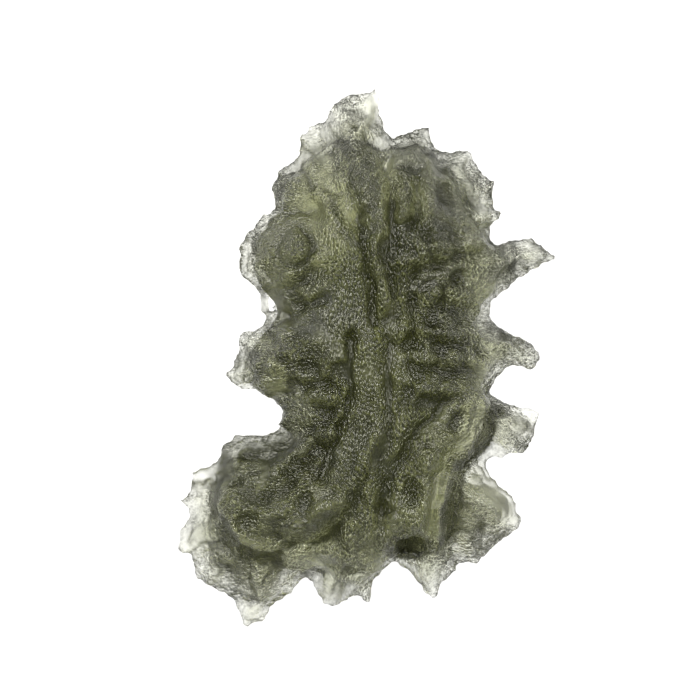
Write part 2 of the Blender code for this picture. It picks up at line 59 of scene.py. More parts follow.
# Outlines, lists of cusps in millimetres, clockwise. A third value is the depth of the scallop that
# follows as a share of its chord, where it differs from the usual one, and a minus swells out.
SCALLOP = 0.07
TOP_LOBE = [
    (-2.3, 17.2), (-1.4, 17.7), (0.5, 18.0, -0.05), (1.0, 17.5), (1.15, 15.9), (1.7, 14.7, -0.03),
]
UPPER_RIGHT = [
    (4.1, 15.6, -0.12), (4.4, 14.7), (4.8, 14.1), (6.6, 14.2, -0.05), (7.1, 14.0), (7.6, 12.8, 0.03),
    (8.6, 11.9), (8.5, 10.0, 0.02), (9.2, 9.85), (8.15, 8.1),
]
RIGHT_SPINES = [
    (8.6, 7.8, 0.03), (10.7, 8.2, -0.02), (12.1, 7.2, -0.05), (12.6, 6.6, 0.02), (11.6, 6.2, 0.03),
    (10.1, 5.2, 0.04), (8.4, 3.8, 0.05), (8.25, 2.9), (10.5, 1.4, -0.04), (11.7, 0.4, -0.1),
    (11.2, -0.7, 0.24), (8.3, -2.2), (9.8, -3.1, 0.03), (10.8, -3.3, -0.05), (11.6, -3.7, 0.04),
    (11.3, -4.3), (11.2, -5.0, -0.05), (10.8, -5.8), (10.7, -6.3, 0.04), (9.1, -6.6), (7.9, -7.0),
]
LOWER_RIGHT = [
    (8.8, -8.2, 0.02), (9.9, -9.4, -0.03), (10.1, -10.0), (10.6, -11.0, -0.05), (9.8, -11.9, 0.03),
    (8.9, -12.4), (8.1, -13.1), (7.4, -13.8, 0.12), (6.2, -13.8), (6.1, -14.3), (5.6, -14.6),
    (4.9, -16.0, -0.1), (4.5, -16.2, -0.1), (4.1, -15.9, 0.02), (3.1, -14.4), (1.7, -13.7),
]
FOOT_LOBES = [
    (1.0, -14.5), (0.6, -14.8), (0.4, -16.0), (0.3, -16.3), (-0.9, -16.0), (-1.5, -16.4),
    (-2.0, -16.7, -0.1), (-2.7, -16.7, 0.02), (-3.5, -15.4), (-3.9, -14.5),
]
LOWER_LEFT_FAN = [
    (-4.4, -15.0), (-4.8, -15.7), (-5.6, -16.1), (-6.5, -17.3), (-6.8, -17.7), (-7.2, -17.6),
    (-7.7, -18.0, -0.1), (-8.1, -17.9), (-8.3, -17.2), (-8.7, -16.2), (-9.5, -15.7), (-10.3, -15.4),
    (-11.5, -14.7), (-11.5, -13.4), (-12.6, -13.1), (-12.6, -11.7), (-11.9, -10.9), (-11.9, -10.2),
    (-12.5, -9.6), (-11.9, -9.2), (-11.6, -7.6), (-10.9, -7.3), (-10.2, -7.1), (-9.4, -5.9),
    (-9.4, -5.6), (-8.6, -5.0, 0.07),
]
LEFT_SPINES = [
    (-5.8, -4.8), (-5.8, -4.3), (-5.4, -3.3, 0.12), (-6.5, -2.4), (-7.9, -2.1, -0.06), (-9.3, -1.1, 0.03),
    (-9.0, -0.7), (-8.5, 0.6), (-8.5, 1.6, -0.1), (-7.9, 1.9, 0.12), (-6.7, 2.4), (-6.6, 2.7),
    (-6.9, 3.2), (-7.1, 4.0), (-7.0, 4.4), (-7.4, 4.8, 0.03), (-8.4, 5.6, -0.05), (-8.3, 6.5),
    (-8.4, 7.5, 0.02), (-7.6, 8.7), (-7.1, 9.4), (-6.9, 9.8),
]
UPPER_LEFT = [
    (-5.9, 10.0, -0.1), (-5.8, 12.8, 0.26), (-4.4, 14.9, -0.05), (-4.1, 15.3), (-3.8, 15.3, -0.25),
    (-3.6, 15.8, -0.25), (-3.1, 15.9, -0.2), (-2.8, 15.8, 0.03), (-2.4, 16.5),
]
RIM_OUTLINE = (
    TOP_LOBE + UPPER_RIGHT + RIGHT_SPINES + LOWER_RIGHT
    + FOOT_LOBES + LOWER_LEFT_FAN + LEFT_SPINES + UPPER_LEFT
)
CORE_OUTLINE = [
    (-3.6, 13.6), (-2.3, 14.4), (-0.5, 14.6), (0.8, 13.7), (1.8, 14.0), (3.4, 14.3), (4.4, 13.0),
    (5.8, 11.8), (6.6, 9.9), (7.6, 8.5), (8.6, 7.3), (9.2, 6.3), (8.5, 4.5), (7.1, 2.6), (7.9, 1.2),
    (9.8, 1.2), (9.2, 0.2), (8.0, -0.9), (7.6, -1.9), (8.3, -3.1), (7.3, -4.9), (6.9, -6.4),
    (5.8, -8.1), (5.4, -9.6), (5.3, -11.4), (5.1, -12.5), (3.5, -13.0), (1.6, -13.2), (0.7, -14.2),
    (-0.4, -15.2), (-1.8, -14.8), (-3.0, -13.7), (-4.1, -14.1), (-5.3, -14.0), (-5.8, -12.9),
    (-7.3, -12.8), (-8.5, -12.2), (-9.5, -10.9), (-9.7, -9.6), (-9.2, -8.7), (-7.6, -7.8),
    (-5.7, -6.9), (-4.4, -5.9), (-4.5, -5.1), (-5.8, -4.5), (-5.5, -3.4, 0.12), (-6.6, -2.5),
    (-7.5, -1.9), (-7.5, 0.9), (-6.3, 2.3), (-5.7, 3.2), (-6.9, 4.8), (-7.3, 5.9), (-7.2, 7.9),
    (-6.2, 9.5), (-5.5, 10.0), (-5.3, 12.0, 0.15),
]

# How many points an outline has for each scallop, and how far they are out of line, in millimetres
ARC_STEPS = 6
ARC_JITTER = 0.1
ARC_SEED = 4

# The two sheets: height of the middle, half thickness at the edge, how far each face swells, the distance
# from the edge over which it does so, and a power, where more than 1 keeps the edge flat
SHEET_DEPTH = 1.6
RIM = {"middle": 3.7, "edge": 0.2, "front": 2.4, "back": 3.75, "reach": 3.3, "power": 1.5}
CORE = {"middle": 5.3, "edge": 0.45, "front": 3.6, "back": 3.0, "reach": 2.4, "power": 1.0}

# How far in from the outline the strokes, knobs and bowls come to their full height
RIM_MARGIN = 0.9

# The upright share of a normal from which a place belongs wholly to its face
FACE_SLOPE = 0.35

# How far each spine of a sheet leans up, or down with a minus: x, y, lean, radius of its influence
RIM_LEANS = [
    (0.2, 17.4, 1.5, 2.6), (4.1, 15.4, 1.2, 1.8), (7.2, 13.4, -1.0, 2.2), (9.1, 9.8, 0.5, 1.4),
    (12.2, 7.0, 1.6, 2.6), (8.6, 3.5, -0.9, 1.6), (11.4, 0.2, -0.6, 2.2), (11.2, -4.6, 1.2, 2.2),
    (10.3, -11.0, -1.0, 2.6), (7.3, -13.7, 0.6, 1.3), (4.6, -15.9, -0.9, 1.7), (0.3, -16.1, 1.0, 1.3),
    (-2.3, -16.6, -0.8, 1.5), (-7.5, -17.9, 1.2, 2.2), (-12.4, -12.4, -1.5, 2.2),
    (-12.2, -9.4, -1.0, 2.0), (-8.8, -5.6, 1.3, 2.2), (-9.2, -1.0, 0.9, 1.8), (-8.4, 1.4, -0.8, 1.2),
    (-6.8, 3.6, -0.7, 1.2), (-8.4, 6.5, 1.2, 1.8), (-6.0, 12.4, 0.5, 1.6), (-3.6, 15.6, -0.8, 1.2),
]
CORE_LEANS = [
    (9.2, 1.0, -0.5, 1.6), (8.6, 7.0, -0.4, 2.0), (5.4, -9.6, 0.7, 2.4), (7.4, -5.2, 0.6, 1.8),
    (-0.4, -15.0, -0.5, 1.3), (-8.6, -10.4, 0.6, 2.4), (-5.8, -7.4, 0.7, 1.8), (-7.0, -1.2, 0.5, 1.6),
    (-6.8, 6.4, 0.6, 1.9), (-5.2, 11.4, 0.3, 1.5), (3.2, 13.6, -0.5, 1.8), (-1.6, 14.0, -0.6, 1.8),
]

# Strokes along the glass's flow lines: points, half width, height (a minus is a groove)
FRONT_STROKES = [
    ([(1.3, 12.7), (1.5, 7.3), (1.8, 3.9), (1.4, -1.5), (1.3, -7.8), (1.2, -10.9)], 0.42, -0.6),
    ([(-0.6, 9.6), (-0.2, 7.8), (0.2, 5.3), (0.7, 2.2)], 0.28, -0.8),
    ([(0.6, 10.6), (0.8, 7.0), (1.1, 3.4)], 0.3, 0.45),
    ([(-2.7, 7.4), (-2.1, 3.5), (-1.9, -0.4)], 1.1, 0.55),
    ([(-1.0, 1.6), (-1.3, -2.6), (-1.7, -4.8), (-2.8, -7.6)], 0.33, -0.8),
    ([(-2.8, 13.8), (-1.5, 10.8), (-0.8, 8.6)], 0.85, -1.0),
    ([(-3.6, 9.6), (-2.8, 7.8), (-2.0, 6.0)], 0.75, -0.7),
    ([(-2.6, 9.9), (-1.6, 9.1), (-0.6, 7.8)], 0.3, 0.45),
    ([(1.6, 13.2), (1.6, 11.6), (1.4, 10.2)], 0.55, -1.0),
    ([(3.2, 11.6), (3.2, 10.2), (2.9, 8.8)], 0.42, -0.9),
    ([(7.8, -3.4), (6.8, -5.3), (6.4, -6.4), (5.3, -8.1), (4.9, -9.4), (4.8, -12.2)], 0.45, 0.6),
    ([(8.4, -5.2), (7.2, -7.2), (6.3, -9.2), (6.0, -12.2)], 0.5, -0.7),
    ([(-4.0, -5.3), (-4.7, -6.2), (-6.7, -7.4), (-9.0, -8.8)], 0.36, 0.75),
    ([(-9.2, -9.0), (-9.3, -10.3), (-8.2, -12.0), (-6.2, -12.4)], 0.4, 0.7),
    ([(-3.6, -6.6), (-5.0, -8.2), (-7.4, -9.2)], 0.5, -0.6),
    ([(0.2, -7.6), (-1.0, -10.2), (-3.0, -11.8), (-5.0, -12.5)], 0.4, -0.8),
    ([(0.6, -5.0), (-0.4, -8.0), (-2.4, -9.8), (-5.0, -11.0)], 0.4, 0.45),
    ([(5.0, -2.6), (3.2, -4.9), (2.3, -6.7), (1.5, -9.6)], 0.5, -0.85),
    ([(6.6, -3.6), (4.8, -5.8), (3.7, -8.0), (3.3, -10.6)], 0.5, 0.5),
    ([(2.8, 5.4), (2.7, 3.2), (2.9, 0.8)], 0.42, -0.75),
    ([(2.9, 5.6), (5.2, 6.3), (7.2, 6.8)], 0.45, -0.7),
    ([(3.4, 7.4), (6.2, 7.9), (9.6, 7.5)], 0.6, 0.6),
    ([(5.0, 9.6), (6.6, 9.2), (8.6, 9.5)], 0.5, 0.5),
    ([(3.2, 3.6), (5.2, 3.6), (6.9, 2.9)], 0.5, -0.6),
    ([(3.6, 2.0), (6.2, 1.9), (10.0, 0.8)], 0.5, 0.6),
    ([(3.0, -0.4), (5.0, -0.6), (7.4, -1.4)], 0.5, -0.6),
    ([(3.4, -1.8), (5.6, -2.0), (8.0, -2.9)], 0.45, 0.45),
    ([(-3.2, 1.4), (-5.4, 0.6), (-7.8, -0.9)], 0.6, 0.5),
    ([(-2.9, 3.8), (-4.8, 2.8), (-6.6, 1.8)], 0.5, -0.6),
    ([(-2.6, -1.6), (-4.4, -2.0), (-6.2, -2.7)], 0.45, -0.6),
    ([(-3.0, 5.6), (-4.8, 4.8), (-6.6, 4.6)], 0.5, -0.6),
    ([(-3.2, 9.8), (-4.6, 9.4), (-6.2, 9.0)], 0.45, -0.6),
    ([(4.2, 13.4), (4.4, 11.6), (4.2, 9.8)], 0.45, 0.45),
    ([(-1.3, -11.0), (-1.6, -13.0), (-2.2, -15.6)], 0.5, 0.55),
    ([(1.6, -10.6), (1.4, -12.4), (0.3, -15.0)], 0.45, 0.5),
    ([(0.4, 17.6), (-0.1, 15.6), (-0.8, 14.0)], 0.4, 0.45),
    ([(11.8, 7.0), (10.2, 6.9), (8.8, 6.6)], 0.4, 0.4),
    ([(11.0, -4.8), (9.4, -4.6), (8.0, -3.8)], 0.5, 0.5),
    ([(10.4, -11.0), (8.8, -9.8), (7.2, -8.8)], 0.5, 0.5),
    ([(4.5, -15.8), (4.3, -14.2), (4.2, -13.0)], 0.4, 0.5),
    ([(-7.6, -17.6), (-7.3, -15.6), (-6.6, -13.6)], 0.45, 0.6),
    ([(-12.3, -12.6), (-10.9, -11.6), (-9.8, -11.0)], 0.5, 0.5),
    ([(-10.4, -15.0), (-9.4, -13.8), (-8.6, -12.6)], 0.4, 0.45),
]
BACK_STROKES = [
    ([(-1.5, 12.0), (-0.8, 7.0), (-2.0, 3.0)], 0.7, -0.8),
    ([(3.4, 11.0), (2.8, 6.6), (4.0, 3.0)], 0.7, -0.7),
    ([(-3.2, -4.0), (-3.6, -8.0), (-6.0, -12.0)], 0.8, -0.9),
    ([(3.0, -5.0), (3.4, -8.6), (2.4, -12.4)], 0.7, -0.8),
    ([(-4.4, 5.6), (-5.6, 3.0), (-5.4, -2.6)], 0.7, -0.6),
    ([(5.8, 4.6), (5.2, 0.8), (6.2, -4.4)], 0.7, -0.7),
]

# Cupules: depth and soft edge as shares of the radius, the most that one cuts as a share of its depth,
# and how far a place has to belong to the face to count for the level there
CUPULE_DEPTH = 0.36
CUPULE_EDGE = 0.35
CUPULE_LIMIT = 1.6
CUPULE_SHARE = 0.3

# Cupules etched into the front: x, y, radius, stretch along Y, turn in degrees
FRONT_CUPULES = [
    (-6.2, 5.9, 0.9, 1.0, 0), (-1.8, -0.9, 1.1, 0.9, 0), (-3.9, -0.6, 1.0, 1.1, 0),
    (-4.9, -1.9, 0.9, 0.8, 0), (-2.9, -3.6, 1.2, 1.0, 0), (-4.4, 3.8, 1.1, 0.9, 0),
    (-3.3, -6.0, 0.9, 0.9, 0), (1.9, 4.8, 0.9, 1.7, 5), (4.0, 4.9, 1.1, 0.9, 0),
    (6.3, 5.3, 1.0, 0.8, 0), (4.4, 3.0, 1.0, 0.8, 0), (4.9, 0.7, 1.0, 0.8, 0), (7.6, 0.4, 0.8, 0.8, 20),
    (4.4, -2.9, 1.1, 1.0, 0), (2.6, -2.4, 1.0, 1.3, -10), (6.0, -4.3, 0.9, 0.9, 0),
    (9.6, -5.0, 0.6, 0.8, 0), (8.9, -9.2, 0.6, 0.9, 0), (8.3, -11.6, 1.1, 0.9, 0),
    (2.6, -8.6, 0.9, 1.6, -15), (-0.4, -9.0, 0.9, 1.6, 20), (-4.0, -9.3, 1.1, 0.8, 30),
    (-6.6, -9.0, 1.0, 0.9, 0), (-7.6, -10.8, 1.2, 0.9, 0), (-7.2, -6.2, 1.4, 0.7, 20),
    (-10.9, -9.6, 1.2, 1.4, 0), (-11.2, -12.6, 1.1, 0.9, 0), (-9.6, -14.3, 1.1, 0.9, 0),
    (-7.9, -15.6, 0.9, 1.1, 0), (-5.4, -14.9, 0.8, 1.0, 0), (-2.7, -14.8, 0.9, 1.2, 0),
    (-0.6, -14.0, 0.9, 1.2, 0), (5.9, -14.1, 0.8, 0.9, 0), (3.4, -14.3, 0.8, 0.9, 0),
    (3.1, 12.9, 1.0, 0.9, 0), (6.0, 12.8, 1.2, 0.9, 0), (7.3, 11.0, 1.0, 0.9, 0),
    (5.4, 10.9, 0.9, 1.0, 0), (6.4, 8.0, 1.1, 0.8, 0), (4.0, 8.4, 0.9, 1.1, 0),
    (-0.9, 16.2, 0.9, 1.1, 0), (0.6, 15.4, 0.8, 1.3, 0), (-3.3, 14.3, 0.8, 0.9, 0),
    (-5.0, 13.3, 0.8, 0.9, 0), (9.6, 1.9, 0.8, 0.8, 0), (10.2, 0.0, 0.8, 0.8, 0),
    (-8.2, -0.3, 0.7, 0.9, 0), (-7.7, 7.0, 0.8, 1.4, 0), (-7.4, 5.3, 0.7, 0.8, 0),
    (-10.6, -8.0, 0.9, 0.9, 0),
]

# Steep pits under the core's lower rim: x, y, radius, depth, stretch, turn
FRONT_PITS = [(3.2, -12.3, 1.3, 1.0, 0.75, 20), (-6.3, -13.2, 1.0, 0.8, 0.7, 15)]

# The moat round a knob: depth as a share of the height, radius and width as shares of the knob's radius
MOAT_DEPTH = 0.45
MOAT_RADIUS = 1.15
MOAT_WIDTH = 0.25

# Round knobs ringed by a moat: x, y, radius, height
FRONT_KNOBS = [
    (-4.9, 11.3, 1.15, 0.75), (-4.6, 7.4, 1.1, 0.75), (-6.0, -0.4, 0.7, 0.5), (-3.1, -2.4, 0.9, 0.4),
    (-2.6, -5.0, 0.9, 0.4), (-4.2, -7.6, 0.8, 0.4), (7.6, -7.6, 0.9, 0.5), (4.4, -6.8, 0.9, 0.4),
    (4.2, 4.0, 0.9, 0.4), (2.1, 1.9, 0.8, 0.35), (6.1, 3.8, 0.8, 0.4), (5.6, -0.1, 0.9, 0.4),
    (-2.0, 11.9, 0.7, 0.3), (2.3, 9.4, 0.8, 0.35), (5.0, 7.0, 0.9, 0.4), (-5.6, 2.3, 0.9, 0.4),
    (-4.9, -11.0, 0.9, 0.4), (-2.4, -12.6, 0.8, 0.4), (-10.2, -13.2, 0.9, 0.4), (6.6, -12.6, 0.8, 0.4),
]

# Blunt spikes that stand off the two faces: x, y, radius, height. The power hollows their flanks.
SPIKE_POWER = 1.3
FRONT_SPIKES = [
    (-5.9, 9.3, 0.8, 0.6), (5.4, 2.1, 0.8, 0.5), (6.9, -3.3, 0.8, 0.5), (-8.4, -7.2, 1.0, 0.6),
    (4.8, -12.2, 0.7, 0.6), (5.2, 12.2, 0.9, 0.5), (-3.7, 12.9, 0.8, 0.5),
]
BACK_SPIKES = [
    (0.0, 0.3, 5.2, 1.1), (-4.6, 7.4, 1.9, 2.3), (4.6, 7.4, 1.9, 1.7), (6.6, -1.6, 1.7, 1.9),
    (4.4, -9.4, 1.8, 1.6), (-3.4, -10.4, 2.0, 1.9), (-7.2, -8.4, 1.6, 1.6), (-5.6, 0.2, 1.8, 2.2),
    (0.6, 12.0, 1.8, 1.5), (-8.9, -12.8, 1.3, 1.1), (0.2, -13.4, 1.3, 1.1), (7.9, -10.2, 1.3, 1.1),
    (8.2, 6.6, 1.2, 1.0), (5.0, 11.6, 1.2, 1.0),
]

# Cupules strewn over the back
BACK_SEED = 7
BACK_CUPULES = 70
BACK_CUPULE_REACH = (12, 17)
BACK_CUPULE_RADIUS = (0.8, 1.7)
BACK_CUPULE_STRETCH = (0.7, 1.4)
BACK_CUPULE_TURN = 60

# The level that the stone rests on, and how deep the etching is on its foot
FOOT_HEIGHT = -0.1
FOOT_HOLLOW = 0.1

# How the glass's colour changes along its flow: points, half width, lightness, pitting. Lighter glass is
# clearer, and where the pitting is less the skin is smooth, as in the channels. Most forms are the glass's
# own lighter and darker bands. Some paint shade into deep pits, beside a knob and in the drops beside
# crests, and the frosted bosses are painted a little lighter as glints.
GLASS_FORMS = [
    ([(-2.9, 13.2), (-2.0, 11.4), (-1.1, 9.8), (-0.7, 8.7)], 0.62, 1.4, -0.2),
    ([(-2.3, 10.6), (-1.9, 9.4), (-1.3, 8.5)], 0.3, -0.9, 0.0),
    ([(-3.8, 10.3), (-3.0, 9.8), (-2.6, 8.6), (-2.0, 7.4), (-2.4, 6.0)], 0.66, 1.9, -0.2),
    ([(1.7, 13.0), (1.4, 12.2), (1.2, 11.0)], 0.5, 1.4, -0.3),
    ([(3.1, 11.4), (3.2, 10.4), (3.0, 9.5)], 0.38, 1.3, -0.3),
    ([(-9.0, -5.8), (-6.5, -6.1), (-4.5, -6.3)], 1.3, -0.85, -0.1),
    ([(-9.2, -6.8), (-9.3, -8.2)], 0.8, -0.35, -0.2),
    ([(-6.7, -7.4), (-7.2, -8.8)], 0.22, 0.6, -0.6),
    ([(7.4, -4.0), (6.1, -6.0), (5.0, -7.8), (4.3, -9.6), (4.5, -11.2)], 0.75, 1.9, -0.45),
    # Painted shade in the drop on the right of the lower right crest
    ([(6.6, -6.6), (6.1, -8.2), (5.8, -10.2), (5.7, -11.6)], 0.6, -0.35, 0.6),
    ([(0.6, -11.6), (2.6, -10.4), (3.8, -9.4)], 0.8, 0.5, 0.0),
    ([(-7.9, -12.2), (-6.2, -12.0)], 0.35, 0.6, -0.3),
    ([(-6.0, -0.3), (-5.9, -1.1)], 0.45, 1.3, 0.2),
    ([(-6.9, 3.8), (-5.2, 3.6)], 0.55, 0.6, -0.4),
    ([(-7.0, 6.4), (-6.2, 6.1)], 0.5, 0.55, 0.2),
    ([(-2.9, -13.5), (-2.4, -14.3)], 0.7, 0.5, -0.2),
    ([(8.4, 5.4), (9.6, 5.6)], 0.6, -0.3, 0.0),
    # Painted shade on the lower right of the knob at (-4.6, 7.4)
    ([(-3.8, 6.4), (-3.6, 7.4)], 0.45, -0.55, 0.1),
    ([(-3.0, 10.9), (-3.6, 9.9)], 0.3, -0.4, 0.0),
    ([(0.1, 13.4), (0.2, 11.6)], 0.6, -0.5, 0.2),
    ([(3.0, 13.0), (3.4, 12.0)], 0.8, -0.4, -0.1),
    ([(5.4, 12.6), (5.4, 11.6)], 0.45, -0.4, 0.3),
    ([(-0.6, 8.4), (-0.4, 7.2)], 0.5, -0.4, 0.1),
    ([(2.4, 8.6), (2.3, 7.0)], 0.6, -0.4, -0.2),
    ([(1.6, 4.9), (3.6, 4.9)], 0.35, -0.4, 0.0),
    ([(3.8, 2.2), (5.8, 1.8)], 0.4, -0.5, -0.2),
    ([(6.0, -0.8), (7.6, -1.0)], 0.35, -0.45, -0.2),
    ([(3.4, -1.9), (4.8, -3.0), (3.2, -5.2), (1.8, -6.6), (1.8, -10.4)], 0.35, -0.25, -0.2),
    ([(-0.9, 1.2), (-1.2, -3.2), (-2.0, -6.4), (-2.8, -7.4)], 0.25, -0.5, -0.3),
    ([(-0.8, -9.2), (-2.6, -10.4), (-5.4, -10.8)], 0.4, -0.5, -0.3),
    ([(-6.0, -9.4), (-8.0, -9.6)], 0.45, -0.45, 0.0),
    ([(-3.2, -4.6), (-2.4, -5.6)], 0.4, -0.4, 0.0),
    ([(8.8, -3.6), (7.9, -4.8), (7.3, -6.0)], 0.5, -0.6, 0.1),
    ([(6.4, -10.4), (7.3, -12.4)], 0.3, -0.6, 0.0),
    # Painted shade in the deep pit under the core's lower rim
    ([(2.2, -12.5), (3.4, -12.6), (4.5, -12.2)], 0.75, -1.0, 1.0),
    ([(3.0, -11.8), (4.2, -11.6)], 0.5, -0.5, 0.3),
    # Painted shade in the cavity under the lower left crest
    ([(-7.4, -12.6), (-6.2, -12.8), (-5.9, -13.4)], 0.35, -1.3, 0.0),
    ([(-9.4, -10.6), (-9.1, -11.9), (-8.1, -12.8)], 0.35, -0.8, 0.2),
    ([(-7.4, 0.4), (-7.2, -1.4)], 0.4, -1.3, 0.3),
    ([(-7.4, 8.0), (-7.2, 5.6)], 0.25, -0.6, 0.2),
    ([(10.5, 6.15), (10.7, 6.05)], 0.14, -1.1, 0.0),
    ([(10.3, -5.9), (10.7, -6.0)], 0.25, -1.4, 0.3),
    ([(3.0, 15.2), (4.2, 15.2)], 0.4, -0.7, 0.2),
    ([(-2.0, 17.0), (-1.0, 17.2)], 0.25, -0.8, 0.2),
    ([(7.2, -13.2), (8.2, -12.6), (9.6, -11.8)], 0.4, -0.7, 0.2),
    ([(1.4, 3.2), (1.6, 0.6), (1.3, -2.0), (1.2, -4.6), (0.9, -6.8)], 0.42, 0.1, -0.5),
    ([(0.4, 2.4), (0.2, -1.0)], 0.3, 0.1, -0.4),
    ([(-2.2, 1.0), (-1.6, 0.0), (-1.4, -0.8)], 0.75, -0.15, -0.45),
    ([(5.0, 5.7), (6.2, 5.6)], 0.5, -0.15, -0.4),
    ([(-4.8, 2.4), (-3.2, 2.0)], 0.7, -0.1, -0.4),
    ([(8.8, 6.5), (11.4, 6.9)], 1.1, -0.6, 0.15),
    ([(8.1, -8.2), (9.7, -10.2)], 1.2, 2.4, -0.5),
    ([(10.3, -4.3), (11.0, -5.0)], 0.9, 2.6, -0.2),
    # Painted shade on the right of the lower right crest
    ([(9.3, -3.9), (7.9, -4.5), (7.0, -5.9), (6.3, -7.2)], 0.5, -1.2, 0.4),
    ([(-7.9, 7.4), (-7.9, 5.6)], 0.3, 0.4, -0.2),
    ([(-4.0, -9.8), (1.6, -10.6)], 2.2, 0.22, 0.0),
    ([(-4.0, -14.4), (-1.0, -14.8)], 1.2, -0.3, 0.1),
    ([(7.2, 13.4), (8.4, 11.0)], 0.9, 0.05, 0.1),
    ([(9.4, -11.4), (8.6, -12.0)], 0.6, -0.6, 0.3),
    ([(5.4, 14.0), (7.0, 13.4), (8.1, 11.4), (8.8, 9.6)], 0.6, -0.3, 0.1),
    ([(-9.6, -14.6), (-7.6, -15.6), (-5.4, -14.8)], 1.2, -0.2, 0.0),
    ([(-7.1, 4.3), (-6.8, 2.6)], 0.8, -0.55, 0.0),
    ([(7.2, -9.0), (8.2, -11.0)], 0.5, -0.3, 0.3),
    ([(4.4, 12.0), (5.2, 9.4)], 1.3, -0.35, 0.0),
    ([(8.0, 2.0), (10.6, 1.2)], 0.5, -0.6, 0.4),
    ([(9.4, 0.4), (11.2, 0.0)], 0.9, -0.1, 0.3),
    ([(-5.0, 11.4), (-4.6, 10.8)], 1.1, -0.6, 0.3),
    ([(-4.0, 14.2), (-2.4, 14.8), (0.0, 15.2)], 0.8, -0.5, 0.2),
    ([(-8.2, 5.0), (-7.2, 4.4)], 0.5, -0.8, 0.2),
    ([(-8.0, 8.2), (-7.2, 9.2)], 0.5, -0.5, 0.2),
    ([(-6.0, 10.4), (-5.9, 12.4)], 0.5, -0.5, 0.2),
    ([(8.0, 7.6), (9.6, 7.6)], 0.7, -0.4, 0.0),
    ([(6.0, 13.2), (7.0, 11.2)], 1.2, -0.15, 0.0),
    ([(5.0, 4.2), (6.8, 1.8)], 1.2, -0.25, 0.0),
    ([(-6.0, 2.0), (-5.4, -1.6)], 1.2, -0.25, 0.0),
    ([(2.4, 8.6), (5.4, 7.4)], 1.2, -0.2, 0.0),
    ([(-11.6, -12.2), (-10.4, -12.0)], 0.9, 0.2, -0.3),
    ([(-11.0, -7.8), (-11.0, -9.6)], 0.8, 0.3, -0.3),
    ([(0.3, 17.2), (0.3, 16.2)], 0.45, 0.6, -0.7),
    ([(-8.4, 1.2), (-7.4, 1.4)], 0.6, 0.4, 0.1),
    ([(-8.7, -0.9), (-8.0, -1.4)], 0.6, 0.4, 0.1),
    # Frosted bosses: more pitted, and mostly painted a little lighter as glints
    ([(2.0, 5.4), (1.9, 4.0)], 0.45, 0.25, 0.9),
    ([(1.0, 1.4), (1.0, 0.8)], 0.4, 0.25, 0.9),
    ([(3.7, 3.4), (5.2, 4.4)], 0.7, 0.05, 0.8),
    ([(3.6, 9.6), (3.9, 8.4)], 0.55, 0.1, 0.8),
    ([(4.0, 6.6), (5.0, 6.4)], 0.6, 0.05, 0.8),
    ([(-4.8, 0.6), (-3.4, 0.2)], 0.9, -0.1, 0.9),
    ([(-2.6, -1.4), (-2.0, -1.8)], 0.55, 0.1, 0.9),
    ([(-2.6, -3.4), (-2.2, -4.4)], 0.6, -0.1, 0.9),
    ([(-4.9, -3.2), (-5.4, -4.0)], 0.5, 0.1, 0.8),
    ([(-4.2, -8.2), (-4.2, -8.6)], 0.45, 0.1, 0.8),
    ([(3.8, -0.4), (4.4, -1.6)], 0.6, -0.1, 0.9),
    ([(2.4, -2.2), (3.6, -3.4)], 0.6, 0.05, 0.7),
    ([(3.2, -6.4), (2.7, -8.2)], 0.7, 0.0, 0.8),
    ([(-0.2, -7.6), (0.2, -9.6)], 0.5, 0.1, 0.8),
    ([(-2.0, -8.2), (-2.6, -7.6)], 0.4, 0.15, 0.6),
    ([(-2.4, 6.0), (-2.2, 5.2)], 0.5, 0.15, 0.9),
]

# Fine creases in the thin glass, painted dark as shade
CREASE_WIDTH = 0.11
CREASE_SHADE = -0.5
GLASS_CREASES = [
    [(-2.1, 15.6), (-1.5, 14.6), (-0.7, 13.6)],
    [(-2.3, 16.7), (-1.2, 16.6), (0.2, 16.9)],
    [(-0.9, 15.9), (-0.2, 15.0), (0.2, 14.2)],
    [(0.2, 17.8), (0.3, 16.4), (0.9, 15.0)],
    [(-4.4, 14.6), (-3.6, 13.8), (-3.2, 12.8)],
    [(3.0, 15.0), (3.9, 14.4), (4.4, 13.6)],
    [(7.0, 13.8), (6.9, 12.8), (7.2, 11.6)],
    [(-8.0, 8.0), (-7.8, 6.6), (-8.0, 5.2)],
    [(-6.8, 3.0), (-5.4, 3.5), (-4.0, 4.2)],
    [(10.9, 8.0), (11.9, 7.3), (12.4, 6.7)],
    [(9.0, 1.6), (10.2, 1.1), (11.4, 0.4)],
    [(9.4, -3.3), (10.4, -3.7), (11.3, -3.9)],
    [(9.2, -5.9), (10.0, -5.6), (11.0, -5.4)],
    [(8.2, -7.4), (9.2, -9.0), (9.8, -10.6)],
    [(6.9, -9.4), (7.8, -11.0), (7.7, -12.8)],
    [(4.6, -13.4), (4.2, -14.6), (4.5, -15.8)],
    [(3.0, -13.8), (3.8, -14.8), (4.2, -15.6)],
    [(-7.4, -13.2), (-7.6, -14.8), (-7.0, -16.6)],
    [(-9.0, -12.8), (-8.4, -14.2), (-8.9, -15.6)],
    [(-6.9, -15.0), (-6.0, -14.2), (-5.2, -13.9)],
    [(-10.4, -13.6), (-9.8, -14.2), (-10.2, -15.0)],
    [(-12.0, -13.0), (-10.8, -12.2), (-9.6, -12.0)],
    [(-11.6, -8.4), (-10.8, -9.4), (-10.6, -10.4)],
    [(-1.2, -13.4), (-1.6, -14.6), (-2.3, -16.0)],
]

